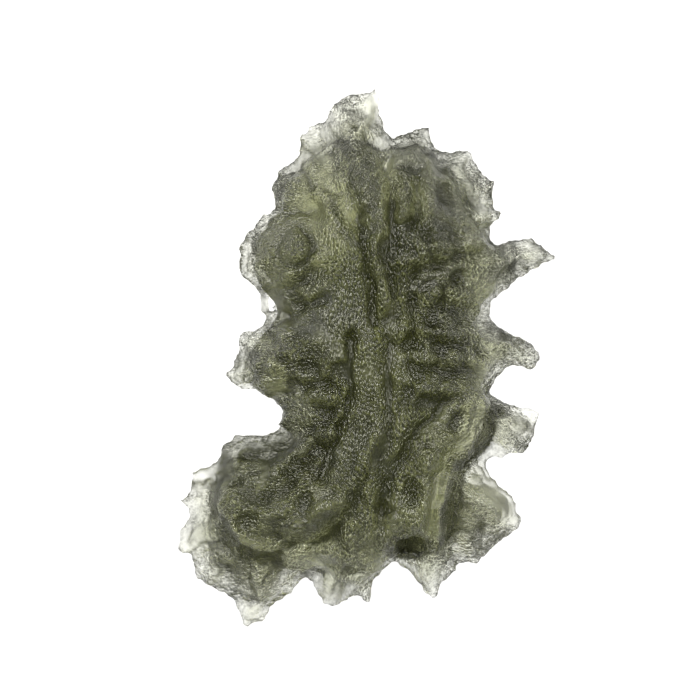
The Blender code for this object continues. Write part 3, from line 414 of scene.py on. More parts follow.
# Sharp edges in the glass's lightness, drawn upwards: points, then half width and lightness on the left
# and on the right
GLASS_EDGES = [
    # The lower right crest: lighter on its left, partly the glass's own band and partly painted light, and
    # painted shade in the drop on its right
    ([(4.8, -12.3), (4.9, -10.6), (5.1, -8.8), (5.4, -7.6), (6.3, -6.2), (7.0, -5.0), (7.9, -3.3)],
     0.7, 1.1, 0.6, -1.2),
    # The lower left crest: painted shade in the crevice below it
    ([(-5.8, -13.3), (-6.4, -12.6), (-7.8, -12.5), (-8.4, -12.0), (-9.2, -10.9), (-9.6, -9.8),
      (-9.3, -8.7)], 0.5, -0.9, 0.55, 0.5),
    ([(-9.3, -8.7), (-8.0, -7.9), (-6.4, -7.2), (-5.2, -6.9), (-4.4, -6.4)], 0.3, 0.3, 0.7, -0.5),
    ([(-0.5, 8.3), (-0.7, 10.0), (-1.0, 11.6), (-1.6, 13.8)], 0.8, 0.6, 0.45, -0.6),
    ([(2.5, 9.6), (2.2, 11.4), (2.1, 13.2)], 0.7, 0.35, 0.5, -0.4),
    ([(-9.9, -9.4), (-10.0, -8.0), (-9.6, -6.6)], 0.8, 0.15, 0.8, -0.3),
    ([(2.1, -13.2), (3.2, -13.4), (4.8, -12.6)], 0.7, -0.8, 0.6, 0.5),
]
EDGE_BLUR = 0.15

# Lightness of the core and of the rim, and where the one passes into the other, from the outline
TONE_OF_CORE = 0.26
TONE_OF_RIM = 0.83
RIM_REACH = (0.6, 3.4)

# What the outline, the forms and the crests add to the lightness. Crests are painted lighter and hollows
# darker, as light and shade. A crest is as high as it stands above the same skin after many rounds of
# smoothing.
# Painted shade: a dark line along the outline, standing in for the dark room seen through the edge
OUTLINE_SHADE = -0.4
OUTLINE_WIDTH = 0.35
FORM_TONE = 0.6
CREST_LIGHT_AND_HOLLOW_SHADE = 0.38
CREST_HEIGHT = 0.2
SMOOTHING_ROUNDS = 50

# The lightness at most, and its power on each face: the back is seen blurred through the stone, so its
# contrast is low
CLEAREST = 1.35
FRONT_TONE_POWER = 1.5
BACK_TONE_POWER = 0.6

# How pitted the skin is, how much that varies in patches, and what the rim and the forms add to it
PITTING = 0.55
PITTING_SPREAD = 0.2
PITTING_PATCH = 2.6
PITTING_OF_RIM = -0.26
FORM_PITTING = 0.7

# How far the flow lines wander sideways, for each size of wave, in millimetres
WANDERS = ((2.4, 0.34), (0.8, 0.12))

# The glass flowed along Y at this x, and turned to flow along X between these distances from it. Pits are
# drawn out along the flow.
FLOW_MIDDLE = 0.8
FLOW_TURN = (2.0, 5.5)

# Etched cells: the distance at which their crests are cut off, and what makes a usual crest's height 1
CELL_REACH = 0.8
CELL_SQUARE = 0.5

# Bowls: stretch where the glass flowed along Y and along X, the level in a bowl that stays in its place,
# and the shares of their depth that they keep on smooth skin and at the outline
BOWL_STRETCHES = ((0.8, 1.7, 0.9), (1.4, 0.85, 0.9))
BOWL_LEVEL = 0.5
BOWL_SHARE = 0.15
RIM_BOWL_SHARE = 0.5

# The finest pits: scale where the glass flowed along Y and along X, the level in a pit that keeps its
# lightness (above it the colour is painted lighter as glints, below it darker as shade), and the two values
# of pitting between which the satin changes
PIT_SCALES = ((1.0, 0.65, 0.9), (0.65, 1.0, 0.9))
PIT_LEVEL = 0.3
SATIN_PITTING = (0.05, 0.5)

# Fine steps along the rim: size and reach of their waver, size of their runs and how common these are,
# how far in they go, how fast they fade there and at the edge, and the level that stays
STEP_WAVER = 2.2
STEP_WAVER_REACH = 0.5
STEP_RUN = 1.5
STEP_RUN_SHARE = 0.6
STEP_REACH = 3.6
STEP_FADE = 1.5
STEP_EDGE = 0.3
STEP_LEVEL = 0.6

# Chips along the outline: size, depth, how far in they go, and how little they change with height
CHIP_SIZE = 0.5
CHIP_DEPTH = 0.12
CHIP_REACH = 0.6
CHIP_UPRIGHT = 0.3

# The light table and the soft lamps, in metres
FLOOR_SIZE = 3.0
FLOOR_TONE = 0.2
FLOOR_ROUGHNESS = 0.6
LAMP_COLOUR = (1.0, 0.99, 0.86)
KEY_LAMP = {"place": (-0.14, 0.1, 0.17), "size": 0.16}
RIGHT_LAMP = {"place": (0.17, 0.03, 0.15), "size": 0.14}
TOP_LAMP = {"place": (0.02, 0.2, 0.14), "size": 0.14}

# The photo's frame: one pixel of it in millimetres, and its middle from the middle of the stone
PIXEL = 36.0 / 533
PHOTO_SIZE = 700
PHOTO_CENTRE = (-14.5 * PIXEL, 8.0 * PIXEL)
NEAREST_SEEN = 0.01


class StoneSettings(bpy.types.PropertyGroup):
    length: bpy.props.FloatProperty(
        name="Length", description="Length of the stone", default=0.036, unit="LENGTH"
    )
    width: bpy.props.FloatProperty(
        name="Width", description="Width of the stone", default=0.0254, unit="LENGTH"
    )
    sheet_voxel: bpy.props.FloatProperty(
        name="Sheet mesh", description="Mesh size of each sheet before they are fused, in millimetres",
        default=0.2,
    )
    skin_voxel: bpy.props.FloatProperty(
        name="Skin mesh", description="Mesh size of the finished skin, in millimetres", default=0.15
    )
    bowl_size: bpy.props.FloatProperty(
        name="Bowl size", description="Width of the larger etched bowls, in millimetres", default=1.25
    )
    bowl_depth: bpy.props.FloatProperty(
        name="Bowl depth", description="Depth of the larger etched bowls, in millimetres", default=0.22
    )
    dimple_size: bpy.props.FloatProperty(
        name="Dimple size", description="Width of the smaller etched bowls, in millimetres", default=0.55
    )
    dimple_depth: bpy.props.FloatProperty(
        name="Dimple depth", description="Depth of the smaller etched bowls, in millimetres", default=0.105
    )
    step_width: bpy.props.FloatProperty(
        name="Step width", description="Width of the fine steps along the rim, in millimetres", default=0.55
    )
    step_depth: bpy.props.FloatProperty(
        name="Step depth", description="Depth of the fine steps along the rim, in millimetres", default=0.07
    )
    triangles: bpy.props.IntProperty(
        name="Triangles", description="Triangles of the finished skin", default=194000
    )


class GlassSettings(bpy.types.PropertyGroup):
    light_skin: bpy.props.FloatVectorProperty(
        name="Light skin", description="Tint of the clearest glass", subtype="COLOR", size=3,
        default=(1.0, 1.0, 1.0),
    )
    dark_skin: bpy.props.FloatVectorProperty(
        name="Dark skin", description="Tint of the darkest glass", subtype="COLOR", size=3,
        default=(0.04, 0.042, 0.022),
    )
    tint: bpy.props.FloatVectorProperty(
        name="Tint", description="Colour that the glass lets through", subtype="COLOR", size=3,
        default=(0.45, 0.47, 0.11),
    )
    ior: bpy.props.FloatProperty(name="IOR", description="How strongly the glass bends light", default=1.49)
    density: bpy.props.FloatProperty(
        name="Density", description="How strongly the glass absorbs, per metre", default=270.0
    )
    pitted_roughness: bpy.props.FloatProperty(
        name="Pitted roughness", description="Satin of the pitted skin", default=0.15, subtype="FACTOR"
    )
    smooth_roughness: bpy.props.FloatProperty(
        name="Smooth roughness", description="Satin of the skin without pits", default=0.42,
        subtype="FACTOR",
    )
    # Painted glints on the crests between the finest pits, and painted shade in the pits
    pit_glint_and_shade: bpy.props.FloatProperty(
        name="Grain", description="How much lighter the crests between the finest pits are", default=6.5
    )
    pit_size: bpy.props.FloatProperty(
        name="Pit size", description="Width of the finest pits, in millimetres", default=0.18
    )
    pit_depth: bpy.props.FloatProperty(
        name="Pit depth", description="Depth of the finest pits, in millimetres", default=0.29
    )


class StageSettings(bpy.types.PropertyGroup):
    floor_glow: bpy.props.FloatProperty(
        name="Floor glow", description="Brightness of the light table", default=0.97
    )
    surround: bpy.props.FloatProperty(
        name="Surround", description="Brightness of the room", default=0.42
    )
    key_power: bpy.props.FloatProperty(
        name="Key lamp", description="Power of the soft lamp at the upper left", default=0.8, unit="POWER"
    )
    fill_power: bpy.props.FloatProperty(
        name="Fill lamps", description="Power of each of the other soft lamps", default=0.36, unit="POWER"
    )
    lens: bpy.props.FloatProperty(
        name="Lens", description="Focal length of the camera, in millimetres", default=120.0
    )


def arc(start, end, hollow, steps):
    """Points from start up to end, without it, on an arc that bites in by hollow times the chord.

    The outline runs clockwise, so the stone lies on the right of each chord.
    """
    start = np.array(start)
    chord = np.array(end) - start
    inward = np.array([chord[1], -chord[0]])
    share = np.arange(steps) / steps
    bow = 4 * hollow * share * (1 - share)
    return start + share[:, None] * chord + bow[:, None] * inward


def traced(cusps):
    """The closed outline through the cusps, with an etched scallop between each two."""
    runs = []
    for i, cusp in enumerate(cusps):
        after = cusps[(i + 1) % len(cusps)]
        hollow = cusp[2] if len(cusp) > 2 else SCALLOP
        runs.append(arc(cusp[:2], after[:2], hollow, ARC_STEPS))
    line = np.concatenate(runs)
    jitter = np.random.default_rng(ARC_SEED).uniform(-ARC_JITTER, ARC_JITTER, line.shape)
    return line + jitter


def distance_to_chord(points, start, chord):
    """Each point's distance from a straight run in the plane."""
    share = np.clip((points - start) @ chord / max(chord @ chord, 1e-9), 0, 1)
    gap = points - start - share[:, None] * chord
    return np.hypot(gap[:, 0], gap[:, 1])


def distance_to_line(points, line, closed):
    """Each point's distance from a line of points in the plane."""
    starts = line
    ends = np.roll(line, -1, axis=0)
    if not closed:
        starts = line[:-1]
        ends = line[1:]
    nearest = np.full(len(points), np.inf)
    for start, end in zip(starts, ends):
        nearest = np.minimum(nearest, distance_to_chord(points, start, end - start))
    return nearest


def gap_beside_line(points, line):
    """Each point's distance from an open line in the plane, less than 0 on the right of its course."""
    nearest = np.full(len(points), np.inf)
    for start, end in zip(line[:-1], line[1:]):
        chord = end - start
        side = np.sign(chord[0] * (points[:, 1] - start[1]) - chord[1] * (points[:, 0] - start[0]))
        signed = side * distance_to_chord(points, start, chord)
        nearest = np.where(np.abs(signed) < np.abs(nearest), signed, nearest)
    return nearest


def near_line(points, line, half_width):
    """1 on an open line in the plane, fading to 0 beyond its half width."""
    gap = distance_to_line(points, np.array(line), closed=False) / half_width
    return np.exp(-gap * gap)


def smooth_step(value):
    """0 up to 0, 1 from 1 on, and a smooth rise between them."""
    value = np.clip(value, 0, 1)
    return value * value * (3 - 2 * value)


def read_points(mesh):
    flat = np.empty(len(mesh.vertices) * 3)
    mesh.vertices.foreach_get("co", flat)
    return flat.reshape(-1, 3)


def write_points(mesh, points):
    mesh.vertices.foreach_set("co", points.ravel())
    mesh.update()


def read_normals(mesh):
    flat = np.empty(len(mesh.vertices) * 3)
    mesh.vertex_normals.foreach_get("vector", flat)
    return flat.reshape(-1, 3)


def select_only(*objects):
    bpy.ops.object.select_all(action="DESELECT")
    for obj in objects:
        obj.select_set(True)
    bpy.context.view_layer.objects.active = objects[0]


def remesh(obj, voxel):
    select_only(obj)
    bpy.ops.object.modifier_add(type="REMESH")
    step = obj.modifiers[-1]
    step.mode = "VOXEL"
    step.voxel_size = voxel
    bpy.ops.object.modifier_apply(modifier=step.name)


def leans_at(points, leans):
    """How far the sheet's spines lean up at each point."""
    rise = np.zeros(len(points))
    for x, y, lean, radius in leans:
        gap = np.hypot(points[:, 0] - x, points[:, 1] - y) / radius
        rise += lean * np.exp(-gap * gap)
    return rise


def swollen_sheet(name, cusps, form, leans, voxel):
    """A sheet cut to the outline, thin at its edge, and swollen by the distance from it."""
    outline = traced(cusps)
    floor = [(x, y, -SHEET_DEPTH) for x, y in outline]
    mesh = bpy.data.meshes.new(name)
    mesh.from_pydata(floor, [], [range(len(floor))])
    obj = bpy.data.objects.new(name, mesh)
    bpy.context.collection.objects.link(obj)
    select_only(obj)
    bpy.ops.object.mode_set(mode="EDIT")
    bpy.ops.mesh.select_all(action="SELECT")
    bpy.ops.mesh.extrude_region_move(TRANSFORM_OT_translate={"value": (0, 0, 2 * SHEET_DEPTH)})
    bpy.ops.mesh.select_all(action="SELECT")
    bpy.ops.mesh.normals_make_consistent(inside=False)
    bpy.ops.object.mode_set(mode="OBJECT")
    remesh(obj, voxel)

    points = read_points(obj.data)
    inside = distance_to_line(points[:, :2], outline, closed=True)
    level = np.clip(points[:, 2] / SHEET_DEPTH, -1, 1)
    swell_share = 1 - np.exp(-((inside / form["reach"]) ** form["power"]))
    swell = np.where(level > 0, form["front"], form["back"]) * swell_share
    middle = form["middle"] + leans_at(points, leans)
    points[:, 2] = middle + level * (form["edge"] + swell)
    write_points(obj.data, points)
    return obj


def depth_from_rim(points):
    """How far in each point is from the stone's outline."""
    return distance_to_line(points[:, :2], traced(RIM_OUTLINE), closed=True)


def facing(obj, side):
    """How much each point of the surface faces the front, side +1, or the back, side -1."""
    return smooth_step(side * read_normals(obj.data)[:, 2] / FACE_SLOPE)


def draw_stroke(points, share, side, line, half_width, height):
    """Raises or sinks the surface along a flow line, fading out to its sides."""
    return side * height * near_line(points[:, :2], line, half_width) * share


def draw_cupule(points, share, side, x, y, radius, depth, stretch, turn):
    """Etches a bowl: what stands above the lower half of a ball that is set into the surface goes."""
    angle = math.radians(turn)
    across = (points[:, 0] - x) * math.cos(angle) + (points[:, 1] - y) * math.sin(angle)
    along = (points[:, 1] - y) * math.cos(angle) - (points[:, 0] - x) * math.sin(angle)
    gap = np.hypot(across, along / stretch) / radius
    near = (gap < 1) & (share > CUPULE_SHARE)
    if not near.any():
        return np.zeros(len(points))
    level = (side * points[near, 2]).mean()
    bowl = level - depth * (1 - gap * gap)
    cut = np.minimum(0, bowl - side * points[:, 2])
    rim = smooth_step((1 - gap) / CUPULE_EDGE)
    return side * np.maximum(cut, -CUPULE_LIMIT * depth) * rim * share


def draw_knob(points, share, side, x, y, radius, height):
    """A dome with a shallow moat around it."""
    gap = np.hypot(points[:, 0] - x, points[:, 1] - y) / radius
    dome = np.sqrt(np.clip(1 - gap * gap, 0, 1))
    moat = MOAT_DEPTH * np.exp(-((gap - MOAT_RADIUS) / MOAT_WIDTH) ** 2)
    return side * height * (dome - moat) * share


def draw_spike(points, share, side, x, y, radius, height):
    """A cone with hollow flanks."""
    gap = np.hypot(points[:, 0] - x, points[:, 1] - y) / radius
    return side * height * np.clip(1 - gap, 0, 1) ** SPIKE_POWER * share


def back_cupules():
    """Cupules strewn over the back, each with its place, radius, stretch and turn."""
    draw = random.Random(BACK_SEED)
    reach_x, reach_y = BACK_CUPULE_REACH
    found = []
    for _ in range(BACK_CUPULES):
        x = draw.uniform(-reach_x, reach_x)
        y = draw.uniform(-reach_y, reach_y)
        radius = draw.uniform(*BACK_CUPULE_RADIUS)
        stretch = draw.uniform(*BACK_CUPULE_STRETCH)
        turn = draw.uniform(-BACK_CUPULE_TURN, BACK_CUPULE_TURN)
        found.append((x, y, radius, stretch, turn))
    return found


def bowls(cupules):
    """The cupules with the depth that goes with their radius."""
    return [
        (x, y, radius, CUPULE_DEPTH * radius, stretch, turn)
        for x, y, radius, stretch, turn in cupules
    ]


def rough_field(points, size):
    """Smooth noise of one size, from about -1 to 1."""
    return np.array([noise.noise(Vector(point)) for point in points / size]) * 1.6


def wander(points):
    """The points moved a little sideways, so that lines drawn there wander as the glass's flow does."""
    moved = points.copy()
    plan = points * (1, 1, 0)
    for size, reach in WANDERS:
        for axis in (0, 1):
            moved[:, axis] += reach * rough_field(plan + 10.0 * (axis + 1), size)
    return moved


def worked_face(obj, side, room, shift, draw_form, forms):
    """Draws forms of one kind into one face, each on what the last one left."""
    for form in forms:
        points = read_points(obj.data)
        points[:, 2] += draw_form(points + shift, room * facing(obj, side), side, *form)
        write_points(obj.data, points)


def etched_cells(points, size, stretch):
    """A field of bowls with sharp crests between them: 0 at a bowl's middle and about 1 on the crests."""
    scale = 1.0 / (size * np.array(stretch))
    heights = np.empty(len(points))
    for i, point in enumerate(points * scale):
        near = noise.voronoi(Vector(point))[0]
        heights[i] = min(near[0], CELL_REACH) ** 2 / CELL_SQUARE
    return heights


def sideways_flow(points):
    """0 in the middle of the stone, where the glass flowed along Y, to 1 where it flowed along X."""
    start, end = FLOW_TURN
    return smooth_step((np.abs(points[:, 0] - FLOW_MIDDLE) - start) / (end - start))


def rim_share(inside):
    """1 in the thin glass along the outline, fading to 0 in the core."""
    return 1 - smooth_step((inside - RIM_REACH[0]) / (RIM_REACH[1] - RIM_REACH[0]))


def pitting_at(points, inside):
    """How pitted the skin is at each point, from 0, smooth, to 1."""
    pits = PITTING + PITTING_SPREAD * rough_field(points, PITTING_PATCH)
    pits += PITTING_OF_RIM * rim_share(inside)
    flow = wander(points)[:, :2]
    for line, half_width, _, pitting in GLASS_FORMS:
        pits += FORM_PITTING * pitting * near_line(flow, line, half_width)
    return np.clip(pits, 0, 1)


def tone_light_and_shade_at(points, inside, proud):
    """How light the glass is painted at each point, from 0, dark, to a little over 1.

    Beside the glass's own tone, crests are painted lighter and hollows darker as light and shade, the
    outline and the creases are painted dark as shade, and some forms paint shade in pits and beside crests
    or glints on frosted bosses.
    """
    tone = TONE_OF_CORE + (TONE_OF_RIM - TONE_OF_CORE) * rim_share(inside)
    # Painted light on the crests and painted shade in the hollows
    tone += CREST_LIGHT_AND_HOLLOW_SHADE * np.clip(proud / CREST_HEIGHT, -1, 1)
    # Painted shade along the outline
    tone += OUTLINE_SHADE * np.exp(-((inside / OUTLINE_WIDTH) ** 2))
    flow = wander(points)[:, :2]
    for line, half_width, tone_light_and_shade, _ in GLASS_FORMS:
        tone += FORM_TONE * tone_light_and_shade * near_line(flow, line, half_width)
    for line, left_width, left, right_width, right in GLASS_EDGES:
        gap = gap_beside_line(flow, np.array(line))
        beside = np.where(gap > 0, gap / left_width, gap / right_width)
        side = smooth_step(0.5 + gap / EDGE_BLUR)
        tone += FORM_TONE * (right + (left - right) * side) * np.exp(-beside * beside)
    for line in GLASS_CREASES:
        # Painted shade along the creases
        tone += CREASE_SHADE * near_line(flow, line, CREASE_WIDTH)
    return np.clip(tone, 0, CLEAREST)


def etch_skin(obj, size, depth, room):
    """Etches bowls of one size over the whole skin, drawn out along the flow."""
    points = read_points(obj.data)
    sideways = sideways_flow(points)
    along_y, along_x = [etched_cells(points, size, stretch) for stretch in BOWL_STRETCHES]
    height = along_y * (1 - sideways) + along_x * sideways
    depth_share = BOWL_SHARE + (1 - BOWL_SHARE) * room
    points += read_normals(obj.data) * ((height - BOWL_LEVEL) * depth * depth_share)[:, None]
    write_points(obj.data, points)


def step_rim(obj, inside, stone):
    """Cuts the fine steps that follow the outline into the thin glass, in broken runs."""
    points = read_points(obj.data)
    waver = STEP_WAVER_REACH * rough_field(points, STEP_WAVER)
    crest = np.abs(np.sin(math.pi * (inside + waver) / stone.step_width))
    runs = smooth_step(STEP_RUN_SHARE + rough_field(points, STEP_RUN))
    runs *= smooth_step((STEP_REACH - inside) / STEP_FADE)
    edge = smooth_step(inside / STEP_EDGE)
    points += read_normals(obj.data) * ((crest - STEP_LEVEL) * stone.step_depth * runs * edge)[:, None]
    write_points(obj.data, points)


def chip_rim(obj, inside):
    """Breaks small scallops with sharp cusps between them into the outline."""
    points = read_points(obj.data)
    outward = read_normals(obj.data) * (1, 1, 0)
    cells = etched_cells(points * (1, 1, CHIP_UPRIGHT), CHIP_SIZE, (1, 1, 1))
    near = smooth_step(1 - inside / CHIP_REACH)
    points -= outward * (CHIP_DEPTH * np.clip(1 - cells, 0, 1) * near)[:, None]
    write_points(obj.data, points)


def thin_out(obj, triangles):
    """Drops the faces that the flatter parts can spare."""
    select_only(obj)
    bpy.ops.object.modifier_add(type="TRIANGULATE")
    bpy.ops.object.modifier_apply(modifier=obj.modifiers[-1].name)
    bpy.ops.object.modifier_add(type="DECIMATE")
    step = obj.modifiers[-1]
    step.ratio = min(1.0, triangles / len(obj.data.polygons))
    bpy.ops.object.modifier_apply(modifier=step.name)


def smoothed_points(mesh, points, rounds):
    """The points after that many rounds of moving each halfway to the middle of its neighbours."""
    ends = np.empty(len(mesh.edges) * 2, dtype=np.int64)
    mesh.edges.foreach_get("vertices", ends)
    one = ends[0::2]
    other = ends[1::2]
    size = len(points)
    neighbours = np.bincount(ends, minlength=size)
    for _ in range(rounds):
        middle = np.empty_like(points)
        for axis in range(3):
            middle[:, axis] = np.bincount(one, points[other, axis], size)
            middle[:, axis] += np.bincount(other, points[one, axis], size)
        points = (points + middle / neighbours[:, None]) / 2
    return points


def lay_glass(obj, inside):
    """Gives each point of the skin its lightness, painted light and shade included, and its pitting, for
    the glass material.
    """
    points = read_points(obj.data)
    proud = ((points - smoothed_points(obj.data, points, SMOOTHING_ROUNDS)) * read_normals(obj.data)).sum(axis=1)
    front = facing(obj, 1)
    power = FRONT_TONE_POWER * front + BACK_TONE_POWER * (1 - front)
    tone_light_and_shade = tone_light_and_shade_at(points, inside, proud) ** power
    for name, values in (("tone_light_and_shade", tone_light_and_shade), ("pitting", pitting_at(points, inside))):
        layer = obj.data.attributes.new(name, "FLOAT", "POINT")
        layer.data.foreach_set("value", values)


def drop_crumbs(obj):
    """Keeps only the largest connected body."""
    select_only(obj)
    bpy.ops.object.mode_set(mode="EDIT")
    bpy.ops.mesh.select_all(action="SELECT")
    bpy.ops.mesh.separate(type="LOOSE")
    bpy.ops.object.mode_set(mode="OBJECT")
    bodies = sorted(bpy.context.selected_objects, key=lambda body: len(body.data.vertices))
    for crumb in bodies[:-1]:
        bpy.data.objects.remove(crumb, do_unlink=True)
    return bodies[-1]


def settle(obj, stone):
    """Centres the stone over its foot's level, flattens its foot, and trues it to its size, in metres."""
    points = read_points(obj.data)
    low = points.min(axis=0)
    high = points.max(axis=0)
    middle = (low + high) / 2
    points -= (middle[0], middle[1], FOOT_HEIGHT)
    hollows = FOOT_HOLLOW * (1 - etched_cells(points * (1, 1, 0), stone.dimple_size, (1, 1, 1)))
    points[:, 2] = np.maximum(points[:, 2], np.maximum(hollows, 0))
    points *= (stone.width / (high[0] - low[0]), stone.length / (high[1] - low[1]), MM)
    write_points(obj.data, points)


def calculated(material, operation, first, second):
    """A sum in the material: an operation on a socket and a socket or number."""
    node = material.node_tree.nodes.new("ShaderNodeMath")
    node.operation = operation
    material.node_tree.links.new(first, node.inputs[0])
    if isinstance(second, float):
        node.inputs[1].default_value = second
    else:
        material.node_tree.links.new(second, node.inputs[1])
    return node.outputs[0]


def glass_material(glass):
    """Olive glass: satin, full of fine pits drawn out along the flow, and darker with depth. Painted light
    and shade from the skin's attribute and painted glints and shade on the finest pits are mixed into its
    colour.
    """
    material = bpy.data.materials.new("moldavite_glass")
    material.use_nodes = True
    nodes = material.node_tree.nodes
    links = material.node_tree.links
    shader = nodes["Principled BSDF"]
    output = nodes["Material Output"]
    shader.inputs["Base Color"].default_value = (1, 1, 1, 1)
    shader.inputs["IOR"].default_value = glass.ior
    shader.inputs["Transmission Weight"].default_value = 1.0

    absorption = nodes.new("ShaderNodeVolumeAbsorption")
    absorption.inputs["Color"].default_value = (*glass.tint, 1)
    absorption.inputs["Density"].default_value = glass.density
    links.new(absorption.outputs["Volume"], output.inputs["Volume"])

    place = nodes.new("ShaderNodeTexCoord")
    heights = []
    for scale in PIT_SCALES:
        mapping = nodes.new("ShaderNodeMapping")
        mapping.inputs["Scale"].default_value = scale
        links.new(place.outputs["Object"], mapping.inputs["Vector"])
        pits = nodes.new("ShaderNodeTexVoronoi")
        pits.inputs["Scale"].default_value = 1 / (glass.pit_size * MM)
        links.new(mapping.outputs["Vector"], pits.inputs["Vector"])
        heights.append(calculated(material, "POWER", pits.outputs["Distance"], 2.0))

    split = nodes.new("ShaderNodeSeparateXYZ")
    links.new(place.outputs["Object"], split.inputs["Vector"])
    offset = calculated(material, "SUBTRACT", split.outputs["X"], FLOW_MIDDLE * MM)
    sideways = nodes.new("ShaderNodeMapRange")
    sideways.interpolation_type = "SMOOTHSTEP"
    sideways.inputs["From Min"].default_value = FLOW_TURN[0] * MM
    sideways.inputs["From Max"].default_value = FLOW_TURN[1] * MM
    links.new(calculated(material, "ABSOLUTE", offset, 0.0), sideways.inputs["Value"])
    mixed = nodes.new("ShaderNodeMix")
    mixed.data_type = "FLOAT"
    links.new(sideways.outputs["Result"], mixed.inputs["Factor"])
    links.new(heights[0], mixed.inputs["A"])
    links.new(heights[1], mixed.inputs["B"])

    tone_light_and_shade = nodes.new("ShaderNodeAttribute")
    tone_light_and_shade.attribute_name = "tone_light_and_shade"
    pitting = nodes.new("ShaderNodeAttribute")
    pitting.attribute_name = "pitting"
    # The crests between the finest pits are painted lighter as glints, and the pits darker as shade
    level = calculated(material, "SUBTRACT", mixed.outputs["Result"], PIT_LEVEL)
    pitted_level = calculated(material, "MULTIPLY", level, pitting.outputs["Fac"])
    pit_glint_and_shade = calculated(material, "MULTIPLY", pitted_level, glass.pit_glint_and_shade)
    share = calculated(material, "ADD", pit_glint_and_shade, 1.0)
    tone_with_pit_glints_and_shade = calculated(material, "MULTIPLY", share, tone_light_and_shade.outputs["Fac"])
    tint = nodes.new("ShaderNodeMix")
    tint.data_type = "RGBA"
    links.new(tone_with_pit_glints_and_shade, tint.inputs["Factor"])
    tint.inputs["A"].default_value = (*glass.dark_skin, 1)
    tint.inputs["B"].default_value = (*glass.light_skin, 1)
    links.new(tint.outputs["Result"], shader.inputs["Base Color"])

    satin = nodes.new("ShaderNodeMapRange")
    satin.inputs["From Min"].default_value = SATIN_PITTING[0]
    satin.inputs["From Max"].default_value = SATIN_PITTING[1]
    satin.inputs["To Min"].default_value = glass.smooth_roughness
    satin.inputs["To Max"].default_value = glass.pitted_roughness
    links.new(pitting.outputs["Fac"], satin.inputs["Value"])
    links.new(satin.outputs["Result"], shader.inputs["Roughness"])
    height = calculated(material, "MULTIPLY", mixed.outputs["Result"], pitting.outputs["Fac"])
    bump = nodes.new("ShaderNodeBump")
    bump.inputs["Distance"].default_value = glass.pit_depth * MM
    links.new(height, bump.inputs["Height"])
    links.new(bump.outputs["Normal"], shader.inputs["Normal"])
    return material


class MOLDAVITE_OT_stone(bpy.types.Operator):
    """Models the stone: two swollen sheets fused, worked with flow lines, knobs and pits, and etched"""

    bl_idname = "moldavite.stone"
    bl_label = "Stone"

    def execute(self, context):
        stone = context.scene.moldavite_stone
        sheets = [
            swollen_sheet("rim", RIM_OUTLINE, RIM, RIM_LEANS, stone.sheet_voxel),
            swollen_sheet("core", CORE_OUTLINE, CORE, CORE_LEANS, stone.sheet_voxel),
        ]
        select_only(*sheets)
        bpy.ops.object.join()
        obj = context.view_layer.objects.active
        remesh(obj, stone.skin_voxel)

        points = read_points(obj.data)
        room = smooth_step(depth_from_rim(points) / RIM_MARGIN)
        shift = wander(points) - points
        worked_face(obj, 1, room, shift, draw_stroke, FRONT_STROKES)
        worked_face(obj, 1, room, shift, draw_spike, FRONT_SPIKES)
        worked_face(obj, 1, room, shift, draw_knob, FRONT_KNOBS)
        worked_face(obj, 1, room, shift, draw_cupule, bowls(FRONT_CUPULES))
        worked_face(obj, 1, room, shift, draw_cupule, FRONT_PITS)
        worked_face(obj, -1, room, shift, draw_stroke, BACK_STROKES)
        worked_face(obj, -1, room, shift, draw_spike, BACK_SPIKES)
        worked_face(obj, -1, room, shift, draw_cupule, bowls(back_cupules()))
        remesh(obj, stone.skin_voxel)
        obj = drop_crumbs(obj)

        points = read_points(obj.data)
        inside = depth_from_rim(points)
        rim_room = RIM_BOWL_SHARE + (1 - RIM_BOWL_SHARE) * smooth_step(inside / RIM_MARGIN)
        room = pitting_at(points, inside) * rim_room
        etch_skin(obj, stone.bowl_size, stone.bowl_depth, room)
        etch_skin(obj, stone.dimple_size, stone.dimple_depth, room)
        step_rim(obj, inside, stone)
        chip_rim(obj, inside)
        thin_out(obj, stone.triangles)
        lay_glass(obj, depth_from_rim(read_points(obj.data)))
        settle(obj, stone)

        select_only(obj)
        bpy.ops.object.shade_smooth()
        obj.name = "moldavite_stone"
        obj.data.materials.clear()
        obj.data.materials.append(glass_material(context.scene.moldavite_glass))
        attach(obj, "root")
        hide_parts("moldavite")
        return {"FINISHED"}


def soft_lamp(name, form, power):
    """A soft lamp that faces the stone's middle."""
    bpy.ops.object.light_add(type="AREA", location=form["place"])
    lamp = bpy.context.object
    lamp.name = name
    lamp.data.size = form["size"]
    lamp.data.energy = power
    lamp.data.color = LAMP_COLOUR
    lamp.rotation_mode = "QUATERNION"
    lamp.rotation_quaternion = Vector(form["place"]).to_track_quat("Z", "Y")


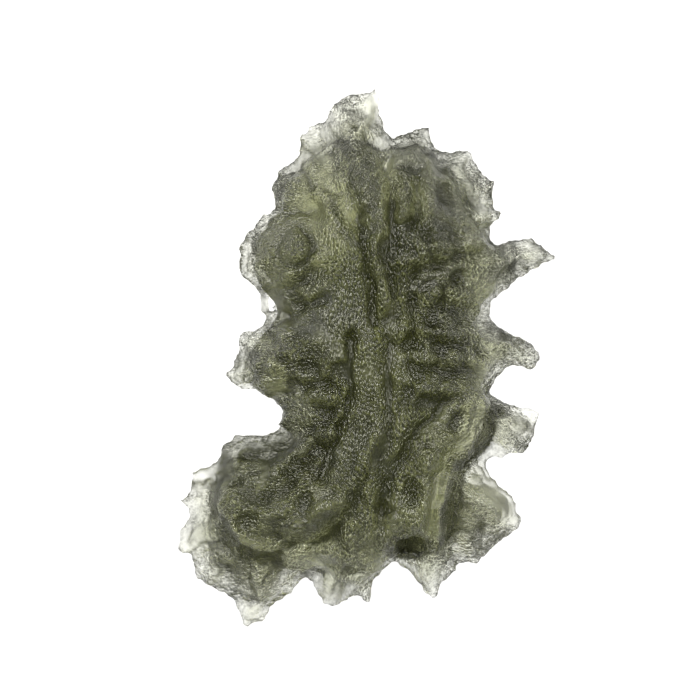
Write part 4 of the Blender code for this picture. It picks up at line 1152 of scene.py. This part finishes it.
class MOLDAVITE_OT_stage(bpy.types.Operator):
    """Makes the light table, the soft lamps, the room and the camera"""

    bl_idname = "moldavite.stage"
    bl_label = "Stage"

    def execute(self, context):
        stage = context.scene.moldavite_stage
        bpy.ops.mesh.primitive_plane_add(size=FLOOR_SIZE)
        floor = context.object
        floor.name = "light_table"
        material = bpy.data.materials.new("light_table")
        material.use_nodes = True
        shader = material.node_tree.nodes["Principled BSDF"]
        shader.inputs["Base Color"].default_value = (FLOOR_TONE, FLOOR_TONE, FLOOR_TONE, 1)
        shader.inputs["Roughness"].default_value = FLOOR_ROUGHNESS
        shader.inputs["Emission Color"].default_value = (1, 1, 1, 1)
        shader.inputs["Emission Strength"].default_value = stage.floor_glow
        floor.data.materials.append(material)

        soft_lamp("key_lamp", KEY_LAMP, stage.key_power)
        soft_lamp("right_lamp", RIGHT_LAMP, stage.fill_power)
        soft_lamp("top_lamp", TOP_LAMP, stage.fill_power)

        world = bpy.data.worlds.new("room")
        world.use_nodes = True
        world.node_tree.nodes["Background"].inputs["Color"].default_value = (1, 1, 1, 1)
        world.node_tree.nodes["Background"].inputs["Strength"].default_value = stage.surround
        context.scene.world = world
        context.scene.view_settings.view_transform = "Standard"

        rim_height = (RIM["middle"] - FOOT_HEIGHT) * MM
        view_width = PHOTO_SIZE * PIXEL * MM
        bpy.ops.object.camera_add()
        camera = context.object
        camera.data.lens = stage.lens
        distance = view_width * stage.lens / camera.data.sensor_width
        camera.location = (PHOTO_CENTRE[0] * MM, PHOTO_CENTRE[1] * MM, rim_height + distance)
        camera.data.clip_start = NEAREST_SEEN
        context.scene.camera = camera
        return {"FINISHED"}


class MOLDAVITE_PT_panel(bpy.types.Panel):
    """Lists the stone's sizes and colours and the operators that make it"""

    bl_idname = "MOLDAVITE_PT_panel"
    bl_label = "Moldavite"
    bl_space_type = "VIEW_3D"
    bl_region_type = "UI"
    bl_category = "Moldavite"

    def draw(self, context):
        scene = context.scene
        for settings in (scene.moldavite_stone, scene.moldavite_glass, scene.moldavite_stage):
            box = self.layout.box()
            for name in settings.bl_rna.properties.keys():
                if name not in ("rna_type", "name"):
                    box.prop(settings, name)
        self.layout.operator("moldavite.stone")
        self.layout.operator("moldavite.stage")


CLASSES = (
    StoneSettings,
    GlassSettings,
    StageSettings,
    MOLDAVITE_OT_stone,
    MOLDAVITE_OT_stage,
    MOLDAVITE_PT_panel,
)


def register():
    for cls in CLASSES:
        bpy.utils.register_class(cls)
    bpy.types.Scene.moldavite_stone = bpy.props.PointerProperty(type=StoneSettings)
    bpy.types.Scene.moldavite_glass = bpy.props.PointerProperty(type=GlassSettings)
    bpy.types.Scene.moldavite_stage = bpy.props.PointerProperty(type=StageSettings)


def unregister():
    del bpy.types.Scene.moldavite_stage
    del bpy.types.Scene.moldavite_glass
    del bpy.types.Scene.moldavite_stone
    for cls in reversed(CLASSES):
        bpy.utils.unregister_class(cls)


def main():
    register()
    bpy.ops.moldavite.stone()
    bpy.ops.moldavite.stage()


if __name__ == "__main__":
    main()
